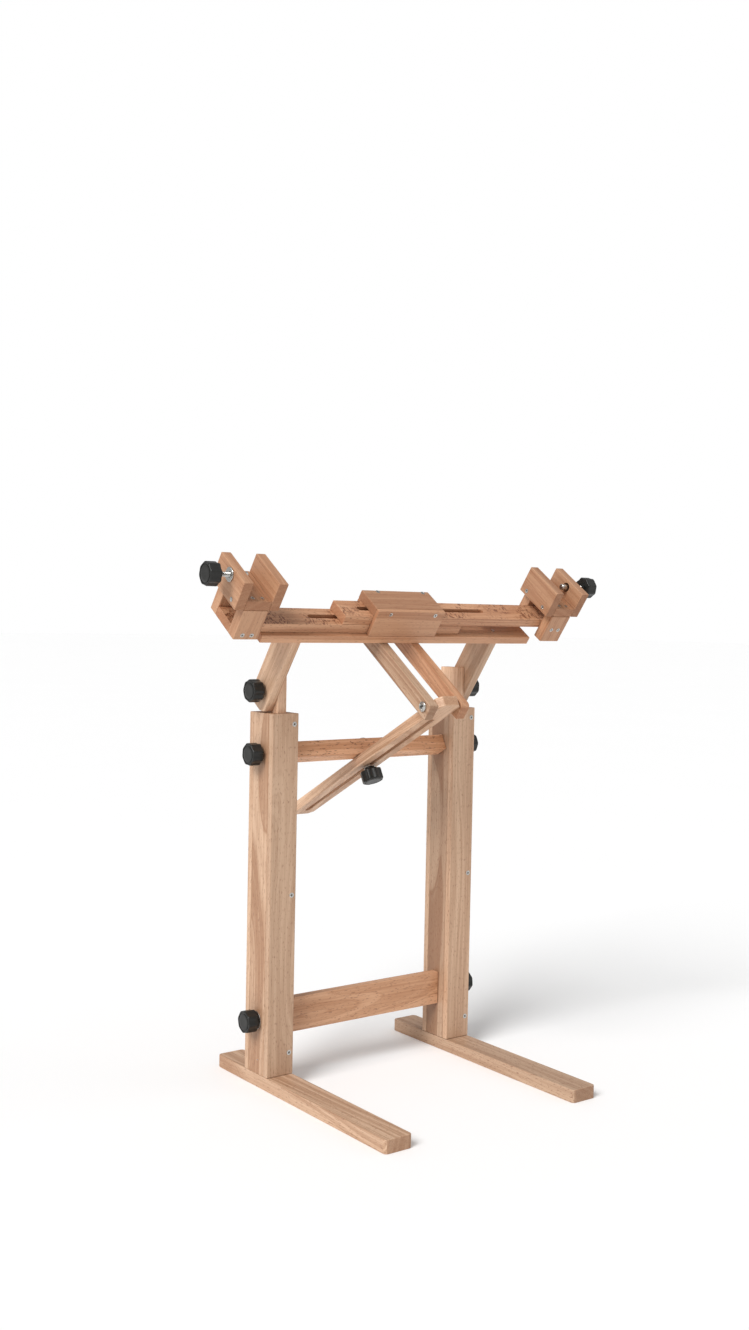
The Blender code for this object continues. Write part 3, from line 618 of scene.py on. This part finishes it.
def knob_rings(flute, washer):
    """A fluted knob on z, from the face of its hub at z = 0.

    The radius falls by a raised cosine of the angle, eight times round. The fall is full on the
    grip's side and fades to nothing over its upper corner, so the front face is round.
    """
    top = KNOB_HUB + KNOB_BODY
    side = rounded(KNOB_CORNER, KNOB_RADIUS, KNOB_HUB, top, 7)
    lead = [(THREAD_HOLE, THREAD_HOLE_DEPTH, 0.0), (THREAD_HOLE, washer, 0.0),
            (KNOB_HUB_RADIUS, washer, 0.0), (KNOB_HUB_RADIUS, KNOB_HUB, 0.0)]
    half = len(side) // 2
    weights = [1.0] * half + list(np.linspace(1.0, 0.15, len(side) - half))
    grip = [(radius, height, weight) for (radius, height), weight in zip(side, weights)]
    middle = np.linspace(KNOB_HUB + KNOB_CORNER, top - KNOB_CORNER, 6)[1:-1]
    grip[half:half] = [(KNOB_RADIUS, height, 1.0) for height in middle]
    rim = CAP_RADIUS + CAP_GROOVE_WIDTH
    face = [(rim + 0.3 * MM, top, 0.0), (rim, top - 0.15 * MM, 0.0),
            (rim - 0.15 * MM, top - CAP_GROOVE, 0.0), (CAP_RADIUS, top - CAP_GROOVE, 0.0),
            (CAP_RADIUS - 0.1 * MM, top - 0.15 * MM, 0.0), (CAP_RADIUS - 0.5 * MM, top, 0.0),
            (CAP_RADIUS * 0.6, top - CAP_DISH * 0.6, 0.0), (CAP_RADIUS * 0.2, top - CAP_DISH, 0.0)]
    profile = np.array(lead + grip + face)
    turn = angles(KNOB_SIDES)[None, :]
    fall = (0.5 - 0.5 * np.cos(KNOB_LOBES * turn)) ** 0.8
    radius = profile[:, :1] - flute * profile[:, 2:3] * fall
    return np.stack([radius * np.cos(turn), radius * np.sin(turn),
                     profile[:, 1:2] + 0 * turn], axis=-1)


def knob_axis(node):
    """The front end of a knob's axis, and the axis, from its hinge."""
    own = node + "_turn"
    hinge = joint(own if own in JOINT_NAMES else node.replace("_knob", "_screw") + "_turn")
    axis = Vector(hinge["axis"]).normalized()
    if "clamp" in node:
        axis = -axis
    origin = Vector(hinge["pos_m"])
    reach = ((node_points(node) - np.array(origin)) @ np.array(axis)).max()
    return origin + axis * reach, axis


KNOBS = [f"{side}_{kind}_knob" for side in SIDES for kind in ("tilt", "upper", "lower", "clamp")]
KNOBS.append("brace_knob")


class STAND_OT_knobs(bpy.types.Operator):
    """Replace every plain knob by a fluted one with a capped face"""

    bl_idname = "stand.knobs"
    bl_label = "Fluted knobs"

    def execute(self, context):
        sizes = context.scene.stand_sizes
        plastic = SHARED["plastic"]
        for number, node in enumerate(KNOBS):
            front, axis = knob_axis(node)
            place = standing(front - axis * (KNOB_HUB + KNOB_BODY), axis, KNOB_TURN_STEP * number)
            washer = WASHER_THICK if "lower" in node else 0.0
            piece = skin(node + "_moulding", knob_rings(sizes.knob_flute, washer), plastic, place)
            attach(piece, body_of(node))
            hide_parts(node)
            if washer:
                ring = washer_ring(node + "_washer", place, WASHER_RADIUS, WASHER_THICK)
                carry_steel(ring, body_of(node))
            if "tilt" in node or "lower" in node:
                add_knob_stud(node, front, axis)
        return {"FINISHED"}


def washer_ring(name, place, radius, thick):
    """A flat washer with slightly rounded edges, from z = 0 up."""
    edge = 0.2 * MM
    profile = [(THREAD_HOLE, thick), (THREAD_HOLE, 0.0)] + rounded(edge, radius, 0.0, thick, 4)
    return skin(name, turned_rings(profile, SCREW_SIDES), SHARED["zinc"], place, hollow=True)


# ---------------------------------------------------------------- studs, screws and nuts

STUD_RADIUS = 3.0 * MM


def threaded_rings(length, sizes):
    """A threaded stud on z.

    The radius is a triangle wave of height over pitch less the turn, so the ridge winds round as
    one helix; it fades over the first and last pitch, and each end has a small chamfer.
    """
    rows = int(length / sizes.thread_pitch * ROWS_PER_THREAD) + 1
    height = np.linspace(0.0, length, rows)[:, None]
    turn = angles(STUD_SIDES)[None, :]
    phase = height / sizes.thread_pitch - turn / (2 * math.pi)
    ridge = 1.0 - np.abs(2.0 * (phase - np.floor(phase)) - 1.0)
    ends = np.clip(np.minimum(height, length - height) / sizes.thread_pitch, 0.0, 1.0)
    radius = STUD_RADIUS - sizes.thread_depth * (1.0 - ridge * ends)
    return np.stack([radius * np.cos(turn), radius * np.sin(turn), height + 0 * turn], axis=-1)


def add_knob_stud(node, front, axis):
    """The steel stud that a studded knob is moulded round."""
    origin = front - axis * (KNOB_HUB + KNOB_BODY)
    reach = -((node_points(node) - np.array(origin)) @ np.array(axis)).min()
    length = reach + THREAD_HOLE_DEPTH - 1.0 * MM
    place = standing(origin - axis * reach, axis)
    rings = threaded_rings(length, bpy.context.scene.stand_sizes)
    piece = skin(node + "_stud", rings, SHARED["zinc"], place)
    carry_steel(piece, body_of(node))


RECESS_REACH = 0.58
RECESS_HALF_WIDTH = 0.15
RECESS_TAPER = 0.10


def cross_recess(x, y):
    """1 inside a cross-shaped recess and 0 outside, with sloping walls.

    Each arm is a box around its own axis; the recess is the deeper of the two arms. x and y are
    shares of the head's radius.
    """
    def arm(along, across):
        length = np.clip((RECESS_REACH - np.abs(along)) / RECESS_TAPER, 0.0, 1.0)
        width = np.clip((RECESS_HALF_WIDTH - np.abs(across)) / RECESS_TAPER + 0.5, 0.0, 1.0)
        return length * width
    return np.maximum(arm(x, y), arm(y, x))


def head_rings(radius, under, crown, recess_depth):
    """A screw head on z with a cross recess, and the recess's shade for each point.

    Below is the given profile; the top is a shallow dome of the given crown, lowered by the
    recess, on rings that shrink towards the middle.
    """
    shares = np.concatenate([[1.0, 0.985, 0.94], np.linspace(0.86, 0.06, 15)])[:, None]
    turn = angles(SCREW_SIDES)[None, :]
    x, y = shares * np.cos(turn), shares * np.sin(turn)
    deep = cross_recess(x, y)
    top = crown * (1.0 - shares ** 2) - recess_depth * deep
    upper = np.stack([radius * x, radius * y, top + 0 * turn], axis=-1)
    lower = turned_rings(under, SCREW_SIDES)
    rings = np.concatenate([lower, upper])
    shade = np.concatenate([np.zeros(lower.shape[:2]), deep])
    return rings, shade


def countersunk(name, place, radius):
    """A countersunk wood screw, its rim just proud of the wood, with a stub of its shank."""
    proud = 0.35 * MM
    under = [(0.42 * radius, -2.6 * radius), (0.42 * radius, -radius),
             (radius, -proud), (radius, -0.12 * MM)]
    rings, shade = head_rings(radius, under, 0.10 * MM, 0.42 * MM)
    return skin(name, rings, SHARED["zinc"], place @ Matrix.Translation((0, 0, proud)),
                shade=shade)


def hexagon_share(turn):
    """Radius of a hexagon over its inner radius, at each angle."""
    sector = math.pi / 3
    return 1.0 / np.cos((turn % sector) - sector / 2)


def nut_rings(across, thick):
    """A hexagon nut with chamfered corners on z.

    The outline is a hexagon, cut back at both ends by a cone that reaches the corners.
    """
    inner = across / 2
    turn = angles(NUT_SIDES)[None, :]
    heights = np.array([0.0, 0.10, 0.22, 0.78, 0.90, 1.0])[:, None] * thick
    limit = np.array([1.02, 1.09, 1.16, 1.16, 1.09, 1.02])[:, None]
    radius = inner * np.minimum(hexagon_share(turn), limit)
    outside = np.stack([radius * np.cos(turn), radius * np.sin(turn), heights + 0 * turn], -1)
    bore = turned_rings([(THREAD_HOLE + 0.35 * MM, thick), (THREAD_HOLE, thick - 0.4 * MM),
                         (THREAD_HOLE, 0.4 * MM), (THREAD_HOLE + 0.35 * MM, 0.0)],
                        NUT_SIDES)
    return np.concatenate([outside, bore])


class Fixings:
    """Adds numbered wood screws and pins, each riding on a body."""

    def __init__(self):
        self.count = 0

    def screw(self, body, point, direction, radius):
        """One countersunk screw, turned by a different angle each time."""
        self.count += 1
        place = standing(point, direction, SCREW_TURN_STEP * self.count)
        piece = countersunk(f"wood_screw_{self.count:02d}", place, radius)
        carry_steel(piece, body)

    def pin(self, body, point, direction, radius):
        """One panel pin with a flat round head."""
        self.count += 1
        proud = 0.15 * MM
        profile = [(0.5 * radius, -4.0 * radius), (0.5 * radius, 0.0)]
        profile += rounded(0.06 * MM, radius, 0.0, proud, 3)
        rings = turned_rings(profile, PIN_SIDES)
        piece = skin(f"panel_pin_{self.count:02d}", rings, SHARED["zinc"],
                     standing(point, direction))
        carry_steel(piece, body)


SCREW_TURN_STEP = 0.83     # radians from one screw to the next
COLUMN_SCREW_INSET = 6.5 * MM
COLUMN_SCREW_HEIGHTS = (476 * MM, 253 * MM, 46 * MM)
BACK_SCREW_HEIGHTS = (470 * MM, 250 * MM, 60 * MM)
PIN_HEIGHT = 36 * MM
FOOT_SCREW_SPREAD = 14 * MM
FOOT_SCREW_SINK = 0.5 * MM
PIN_SHIFT = 4 * MM
CHEEK_SCREW_SPREAD = 20 * MM
LEG_SCREW_SPREAD = 6.5 * MM
ARM_SCREW_SHARES = (0.25, 0.75)
ARM_SCREW_SINK = 0.3 * MM
COVER_FRONT_SHARES = (0.19, 0.86)
COVER_FRONT_RISE = 1.0 * MM
COVER_TOP_SHARES = (0.22, 0.90)
COVER_TOP_INSET = 3.2 * MM


class STAND_OT_wood_screws(bpy.types.Operator):
    """Add the countersunk screws and pins that hold the boards together"""

    bl_idname = "stand.wood_screws"
    bl_label = "Wood screws"

    def execute(self, context):
        sizes = context.scene.stand_sizes
        fixings = Fixings()
        for side in SIDES:
            self.column(fixings, side, sizes)
            self.clamp(fixings, side, sizes)
            self.arm(fixings, side, sizes)
        self.cover(fixings, sizes)
        return {"FINISHED"}

    def column(self, fixings, side, sizes):
        """Three screws down one edge of each face board, a pin low outside, two under the foot."""
        body = body_of(f"{side}_column_front")
        low, high = WORLD.box(f"{side}_column_front")
        back = WORLD.box(f"{side}_column_back")[1]
        for height in COLUMN_SCREW_HEIGHTS:
            fixings.screw(body, (high[0] - COLUMN_SCREW_INSET, low[1], height), (0, -1, 0),
                          sizes.screw_head)
        for height in BACK_SCREW_HEIGHTS:
            fixings.screw(body, (low[0] + COLUMN_SCREW_INSET, back[1], height), (0, 1, 0),
                          sizes.screw_head)
        middle = (low[1] + back[1]) / 2
        outer = low[0] if side == "left" else high[0]
        fixings.pin(body, (outer, middle - PIN_SHIFT, PIN_HEIGHT),
                    (-1 if side == "left" else 1, 0, 0), sizes.nail_head)
        sole = WORLD.box(f"{side}_foot")[0][2] + FOOT_SCREW_SINK
        for shift in (-FOOT_SCREW_SPREAD, FOOT_SCREW_SPREAD):
            fixings.screw(body, ((low[0] + high[0]) / 2, middle + shift, sole), (0, 0, -1),
                          sizes.screw_head)

    def clamp(self, fixings, side, sizes):
        """Screws through both cheeks, down through the block, and through the legs into the bar."""
        body = body_of(f"{side}_clamp_block")
        low, high = HEAD.box(f"{side}_clamp_block")
        level = (low[2] + high[2]) / 2
        middle = (low[1] + high[1]) / 2
        radius = sizes.small_screw_head
        for cheek in ("inner", "outer"):
            near, far = HEAD.box(f"{side}_clamp_{cheek}_cheek")
            leftward = (near[0] + far[0]) / 2 < (low[0] + high[0]) / 2
            x, sign = (near[0], -1) if leftward else (far[0], 1)
            for shift in (-CHEEK_SCREW_SPREAD, CHEEK_SCREW_SPREAD):
                fixings.screw(body, HEAD.point(x, middle + shift, level),
                              HEAD.direction(sign, 0, 0), radius)
        bar = HEAD.box(f"{side}_bar")
        bar_level = (bar[0][2] + bar[1][2]) / 2
        for leg, sign in (("front", -1), ("back", 1)):
            near, far = HEAD.box(f"{side}_clamp_{leg}_leg")
            centre = (near[0] + far[0]) / 2
            face = near[1] if sign < 0 else far[1]
            for shift in (-LEG_SCREW_SPREAD, LEG_SCREW_SPREAD):
                fixings.screw(body, HEAD.point(centre + shift, (near[1] + far[1]) / 2, high[2]),
                              HEAD.direction(0, 0, 1), radius)
                fixings.screw(body, HEAD.point(centre + shift, face, bar_level),
                              HEAD.direction(0, sign, 0), radius)

    def arm(self, fixings, side, sizes):
        """Two screws down through the base board into each arm."""
        low, high = HEAD.box(f"{side}_arm")
        top = HEAD.box("base_board")[1][2] - ARM_SCREW_SINK
        for share in ARM_SCREW_SHARES:
            y = low[1] + (high[1] - low[1]) * share
            fixings.screw("head", HEAD.point((low[0] + high[0]) / 2, y, top),
                          HEAD.direction(0, 0, 1), sizes.small_screw_head)

    def cover(self, fixings, sizes):
        """Two screws through the front board into the top's edge, two down into the back board."""
        low, high = HEAD.box("cover_front")
        top_low, top_high = HEAD.box("cover_top")
        length = high[0] - low[0]
        level = (top_low[2] + top_high[2]) / 2 + COVER_FRONT_RISE
        for share in COVER_FRONT_SHARES:
            fixings.screw("head", HEAD.point(low[0] + length * share, low[1], level),
                          HEAD.direction(0, -1, 0), sizes.small_screw_head)
        for share in COVER_TOP_SHARES:
            point = HEAD.point(low[0] + length * share, top_high[1] - COVER_TOP_INSET, top_high[2])
            fixings.screw("head", point, HEAD.direction(0, 0, 1), sizes.small_screw_head)


FLANGE_LOBES = 4
FLANGE_RADIUS = 9.0 * MM
FLANGE_THICK = 1.5 * MM
BARREL_RADIUS = 4.0 * MM
FOOT_RADIUS = 4.2 * MM
FOOT_SOCKET = 6.0 * MM


def flange_rings(radius, thick, barrel, length):
    """A pronged nut's plate and barrel on z, plate from z = 0 up, barrel below.

    The plate's radius dips four times round, where its prongs are pressed out.
    """
    turn = angles(FLANGE_SIDES)[None, :]
    dip = 0.5 + 0.5 * np.cos(FLANGE_LOBES * turn)
    edge = 0.3 * MM
    plate = np.array([(radius - edge, 0.0), (radius, edge), (radius, thick - edge),
                      (radius - edge, thick)])
    reach = plate[:, :1] * (1.0 - 0.06 * dip ** 3)
    outside = np.stack([reach * np.cos(turn), reach * np.sin(turn), plate[:, 1:2] + 0 * turn], -1)
    inside = turned_rings([(THREAD_HOLE + 0.8 * MM, thick), (THREAD_HOLE, thick - 0.7 * MM),
                           (THREAD_HOLE, -length), (barrel, -length), (barrel, 0.0)],
                          FLANGE_SIDES)
    return np.concatenate([outside, inside])


class STAND_OT_clamp_screws(bpy.types.Operator):
    """Replace the clamps' screws, pronged nuts and pressure feet by detailed ones"""

    bl_idname = "stand.clamp_screws"
    bl_label = "Clamp screws"

    def execute(self, context):
        for side in SIDES:
            hinge = joint(f"{side}_clamp_screw_turn")
            axis = -Vector(hinge["axis"]).normalized()
            origin = Vector(hinge["pos_m"])
            self.screw(side, origin, axis)
            self.pronged_nut(side, origin, axis)
            self.pressure_foot(side, origin, axis)
        return {"FINISHED"}

    def span(self, node, origin, axis):
        """How far a node reaches along the axis, both ways from the origin."""
        along = (node_points(node) - np.array(origin)) @ np.array(axis)
        return along.min(), along.max()

    def finish(self, piece, node):
        """Let a steel piece stand for its node."""
        carry_steel(piece, body_of(node))
        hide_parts(node)

    def screw(self, side, origin, axis):
        """The threaded screw."""
        node = f"{side}_clamp_screw"
        low, high = self.span(node, origin, axis)
        rings = threaded_rings(high - low, bpy.context.scene.stand_sizes)
        place = standing(origin + axis * low, axis)
        self.finish(skin(node + "_threaded", rings, SHARED["zinc"], place), node)

    def pronged_nut(self, side, origin, axis):
        """The plate and barrel pressed into the cheek."""
        node = f"{side}_flanged_nut"
        low, high = self.span(node, origin, axis)
        rings = flange_rings(FLANGE_RADIUS, FLANGE_THICK, BARREL_RADIUS,
                             high - low - FLANGE_THICK)
        place = standing(origin + axis * (high - FLANGE_THICK), axis, math.pi / 4)
        self.finish(skin(node + "_pronged", rings, SHARED["zinc"], place, hollow=True), node)

    def pressure_foot(self, side, origin, axis):
        """A turned steel foot with a grooved waist and a chamfered face."""
        node = f"{side}_pressure_foot"
        low, high = self.span(node, origin, axis)
        length = high - low
        radius = FOOT_RADIUS
        socket = length - FOOT_SOCKET
        profile = [
            (radius - 0.9 * MM, 0.0), (radius - 0.1 * MM, 0.6 * MM), (radius, 0.9 * MM),
            (radius, 3.6 * MM), (radius - 0.4 * MM, 3.8 * MM), (radius - 0.4 * MM, 4.3 * MM),
            (radius, 4.5 * MM), (radius, length - 0.3 * MM), (radius - 0.3 * MM, length),
            (THREAD_HOLE, length), (THREAD_HOLE, socket),
        ]
        place = standing(origin + axis * low, axis)
        rings = turned_rings(profile, SCREW_SIDES)
        self.finish(skin(node + "_turned", rings, SHARED["zinc"], place), node)


BOLT_HEAD_HEIGHT = 4.2 * MM
BOLT_HEAD_RADIUS = 6.5 * MM
BOLT_RECESS = 1.7 * MM
BOLT_HEAD_TURN = 0.4
NUT_ACROSS = 10.0 * MM
NUT_THICK = 5.0 * MM


class STAND_OT_bolts(bpy.types.Operator):
    """Replace the brace's pivot bolt, its nut and the lock nut by detailed ones"""

    bl_idname = "stand.bolts"
    bl_label = "Bolts and nuts"

    def execute(self, context):
        sizes = context.scene.stand_sizes
        low, high = BRACE.box("brace_bolt")
        self.pan_head(low, BOLT_HEAD_RADIUS, BOLT_HEAD_HEIGHT)
        length = high[0] - low[0] - BOLT_HEAD_HEIGHT
        place = standing(BRACE.point(high[0] - length, 0, 0), (1, 0, 0))
        shank = skin("brace_bolt_shank", threaded_rings(length, sizes), SHARED["zinc"], place)
        carry_steel(shank, "brace_pivot")
        self.nut("brace_nut", BRACE.point(BRACE.box("brace_nut")[0][0], 0, 0), (1, 0, 0))
        base = HEAD.box("lock_nut")
        centre = [(base[0][axis] + base[1][axis]) / 2 for axis in (0, 1)]
        self.nut("lock_nut", HEAD.point(*centre, base[0][2]), HEAD.z)
        return {"FINISHED"}

    def pan_head(self, low, radius, high):
        """The domed head on the left strut, with its cross recess."""
        under = [(radius * 0.97, 0.0), (radius, 0.35 * MM), (radius, high * 0.45)]
        rings, shade = head_rings(radius, under, high * 0.55, BOLT_RECESS)
        rings[len(under):, :, 2] += high * 0.45
        place = standing(BRACE.point(low[0] + high, 0, 0), (-1, 0, 0), BOLT_HEAD_TURN)
        head = skin("brace_bolt_head", rings, SHARED["zinc"], place, shade=shade)
        carry_steel(head, "brace_pivot")
        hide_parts("brace_bolt")

    def nut(self, node, point, direction):
        """A chamfered nut in place of a plain one."""
        rings = nut_rings(NUT_ACROSS, NUT_THICK)
        piece = skin(node + "_chamfered", rings, SHARED["zinc"], standing(point, direction),
                     hollow=True)
        carry_steel(piece, body_of(node))
        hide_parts(node)


# ---------------------------------------------------------------- wood

PITH_PLACE = (0.06, 0.04)       # how far the first board lies from the log's middle
PITH_STEP = (0.011, 0.017)
PITH_PLACES = (7, 5)            # boards before a place across the log comes again
LOG_STEP = 0.37                 # from one board to the next along the log


def wood_plan():
    """What each board is made of.

    For each node: tone, shade, grain direction, face direction, band strength, band density,
    fleck strength and planer chatter. The shade is a board's own lightness, except on the right column's inner
    board, whose darker shade is partly painted shade.
    """
    up, right, ahead = (0, 0, 1), (1, 0, 0), (0, 1, 0)
    plan = {
        "lower_rail": ("warm", 0.95, right, ahead, 0.55, 130.0, 0.45, 0.0),
        "upper_rail": ("warm", 1.16, right, BRACE.y, 0.45, 130.0, 0.8, 0.7),
        "base_board": ("rosy", 1.08, right, HEAD.z, 0.35, 110.0, 0.3, 0.0),
        "cover_top": ("rosy", 0.78, right, HEAD.z, 0.35, 60.0, 0.3, 0.0),
        "cover_front": ("rosy", 0.97, right, HEAD.y, 0.35, 60.0, 0.3, 0.0),
        "cover_back": ("rosy", 1.0, right, HEAD.y, 0.45, 60.0, 0.3, 0.0),
        "brace": ("pale", 1.08, BRACE.y, BRACE.z, 0.6, 130.0, 0.4, 0.0),
        "left_bar": ("rosy", 1.0, right, HEAD.z, 0.5, 150.0, 0.6, 0.9),
        "right_bar": ("rosy", 1.02, right, HEAD.z, 0.5, 150.0, 0.6, 0.9),
        "left_arm": ("pale", 1.08, HEAD.z, right, 0.35, 90.0, 0.3, 0.0),
        "right_arm": ("pale", 0.86, HEAD.z, right, 0.35, 90.0, 0.3, 0.0),
        "left_strut": ("pale", 0.78, HEAD.y, right, 0.7, 130.0, 0.5, 0.5),
        "right_strut": ("rosy", 1.0, HEAD.y, right, 0.55, 140.0, 0.45, 0.0),
        "left_foot": ("pale", 0.93, ahead, up, 0.6, 120.0, 0.5, 0.0),
        "right_foot": ("pale", 0.76, ahead, up, 0.35, 120.0, 0.7, 0.0),
    }
    # the right inner shade 0.78 is partly the board's darker tone and partly painted shade, for a face that gets
    # less light
    for side, front, inner, cheek in (("left", 0.87, 0.88, 0.86), ("right", 0.98, 0.78, 0.76)):
        plan[f"{side}_slider"] = ("pale", 1.18, up, right, 0.35, 120.0, 0.3, 0.0)
        for board, shade in (("front", front), ("back", 0.97)):
            plan[f"{side}_column_{board}"] = ("pale", shade, up, ahead, 0.30, 150.0, 0.45, 0.0)
        for board, shade in (("inner", inner), ("outer", 0.95)):
            plan[f"{side}_column_{board}"] = ("pale", shade, up, right, 0.95, 75.0, 0.45, 0.0)
        for board in ("inner", "outer"):
            plan[f"{side}_clamp_{board}_cheek"] = (
                "rosy", cheek, HEAD.y, right, 0.45, 110.0, 0.3, 0.0)
        plan[f"{side}_clamp_block"] = ("rosy", 0.88, HEAD.y, HEAD.z, 0.5, 150.0, 0.4, 0.0)
        for leg in ("front", "back"):
            plan[f"{side}_clamp_{leg}_leg"] = ("rosy", 0.90, HEAD.z, HEAD.y, 0.4, 110.0, 0.3, 0.0)
    return plan


class STAND_OT_wood(bpy.types.Operator):
    """Give every board its own beech, with its own grain direction"""

    bl_idname = "stand.wood"
    bl_label = "Beech boards"

    def execute(self, context):
        SHARED["beech"] = beech_group()
        SHARED["chatter"] = chatter_group()
        for number, (node, wood) in enumerate(sorted(wood_plan().items())):
            tone, shade, grain, face, *pattern = wood
            across = (first + step * (number % places) for first, step, places
                      in zip(PITH_PLACE, PITH_STEP, PITH_PLACES))
            offset = (*across, LOG_STEP * number)
            material = beech_material("beech_" + node, tone, shade, grain, face, offset, *pattern)
            set_material(node, material)
        return {"FINISHED"}


def set_material(node, material):
    """Give a carried-over node a new material in every slot."""
    piece = frame["nodes"][node]
    for slot in piece.material_slots:
        slot.material = material


class STAND_OT_steel_and_plastic(bpy.types.Operator):
    """Make the shared steel and plastic, and finish the steel pieces that keep their shape"""

    bl_idname = "stand.steel_and_plastic"
    bl_label = "Steel and plastic"

    def execute(self, context):
        SHARED["handling"] = handling_group()
        SHARED["zinc"] = zinc_material()
        SHARED["plastic"] = plastic_material()
        for node in ("lock_bolt", "brace_stud", "brace_washer", "left_rail_stud",
                     "right_rail_stud"):
            set_material(node, SHARED["zinc"])
        return {"FINISHED"}


# ---------------------------------------------------------------- stage

FLOOR_SIZE = 60.0
SURROUND_LIGHT = 0.46
LAMPS = (       # name, direction towards the lamp, strength, width in degrees
    ("key", (-0.72, -0.25, 0.65), 2.75, 30.0),
    ("fill", (0.80, -0.45, 0.45), 0.25, 50.0),
)


class STAND_OT_stage(bpy.types.Operator):
    """Add a plain pale floor, soft studio light and the camera"""

    bl_idname = "stand.stage"
    bl_label = "Stage"

    def execute(self, context):
        self.floor(context)
        self.camera(context)
        self.lights(context)
        return {"FINISHED"}

    def floor(self, context):
        """A large flat sheet under the feet."""
        half = FLOOR_SIZE / 2
        mesh = bpy.data.meshes.new("floor")
        mesh.from_pydata([(-half, -half, 0), (half, -half, 0), (half, half, 0), (-half, half, 0)],
                         [], [(0, 1, 2, 3)])
        material, tree, shader = new_material("floor_paint")
        place = tree.nodes.new("ShaderNodeTexCoord")
        patches = noise(tree, place.outputs["Object"], 1.5, 2.0)
        base = context.scene.stand_colours.floor
        darker = tuple(0.985 * value for value in base)
        colour = mix_colour(tree, patches, (*base, 1.0), (*darker, 1.0))
        wire(tree, colour, shader.inputs["Base Color"])
        shader.inputs["Roughness"].default_value = 0.9
        mesh.materials.append(material)
        sheet = bpy.data.objects.new("floor", mesh)
        context.collection.objects.link(sheet)

    def camera(self, context):
        """The view from the stitcher's left, at about the height of the cover."""
        yaw, pitch, roll = CAMERA_YAW, CAMERA_PITCH, CAMERA_ROLL
        ahead = Vector((math.sin(yaw) * math.cos(pitch), math.cos(yaw) * math.cos(pitch),
                        math.sin(pitch)))
        level = Vector((math.cos(yaw), -math.sin(yaw), 0.0))
        raised = level.cross(ahead)
        right = level * math.cos(roll) + raised * math.sin(roll)
        up = raised * math.cos(roll) - level * math.sin(roll)
        lens = bpy.data.cameras.new("camera")
        lens.sensor_fit = "VERTICAL"
        lens.sensor_height = CAMERA_SENSOR
        lens.lens = CAMERA_LENS
        lens.dof.use_dof = False
        seen = bpy.data.objects.new("camera", lens)
        turn = Matrix((right, up, -ahead)).transposed().to_4x4()
        seen.matrix_world = Matrix.Translation(CAMERA_PLACE) @ turn
        context.collection.objects.link(seen)
        context.scene.camera = seen

    def lights(self, context):
        """A broad soft key from the upper left, a weak fill from the right, a pale surround.

        The surround is seen as white and lights the stand with its own, lower strength.
        """
        world = bpy.data.worlds.new("studio")
        world.use_nodes = True
        tree = world.node_tree
        surround = tree.nodes["Background"]
        surround.inputs["Color"].default_value = (1.0, 1.0, 1.0, 1.0)
        path = tree.nodes.new("ShaderNodeLightPath")
        strength = calculate(tree, "MULTIPLY_ADD", path.outputs["Is Camera Ray"],
                             1.0 - SURROUND_LIGHT, SURROUND_LIGHT)
        wire(tree, strength, surround.inputs["Strength"])
        context.scene.world = world
        for name, toward, power, spread in LAMPS:
            light = bpy.data.lights.new(name, "SUN")
            light.energy = power
            light.angle = math.radians(spread)
            lamp = bpy.data.objects.new(name, light)
            lamp.matrix_world = Vector(toward).to_track_quat("Z", "Y").to_matrix().to_4x4()
            context.collection.objects.link(lamp)
        context.scene.view_settings.view_transform = "Standard"


class STAND_PT_panel(bpy.types.Panel):
    """Sidebar panel that lists the stand's steps, sizes and colours"""

    bl_label = "Needlework stand"
    bl_idname = "STAND_PT_panel"
    bl_space_type = "VIEW_3D"
    bl_region_type = "UI"
    bl_category = "Stand"

    def draw(self, context):
        layout = self.layout
        for step in STEPS:
            layout.operator(step.bl_idname)
        for group in (context.scene.stand_sizes, context.scene.stand_colours):
            box = layout.box()
            for name in group.__annotations__:
                box.prop(group, name)


STEPS = (STAND_OT_steel_and_plastic, STAND_OT_wood, STAND_OT_knobs, STAND_OT_clamp_screws,
         STAND_OT_bolts, STAND_OT_wood_screws, STAND_OT_stage)
CLASSES = (StandSizes, StandColours, *STEPS, STAND_PT_panel)


def register():
    """Register the classes and hang the settings on the scene."""
    for kind in CLASSES:
        bpy.utils.register_class(kind)
    bpy.types.Scene.stand_sizes = bpy.props.PointerProperty(type=StandSizes)
    bpy.types.Scene.stand_colours = bpy.props.PointerProperty(type=StandColours)


def unregister():
    """Undo register."""
    del bpy.types.Scene.stand_sizes
    del bpy.types.Scene.stand_colours
    for kind in reversed(CLASSES):
        bpy.utils.unregister_class(kind)


def main():
    """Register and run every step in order."""
    register()
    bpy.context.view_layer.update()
    bpy.ops.stand.steel_and_plastic()
    bpy.ops.stand.wood()
    bpy.ops.stand.knobs()
    bpy.ops.stand.clamp_screws()
    bpy.ops.stand.bolts()
    bpy.ops.stand.wood_screws()
    bpy.ops.stand.stage()


if __name__ == "__main__":
    main()
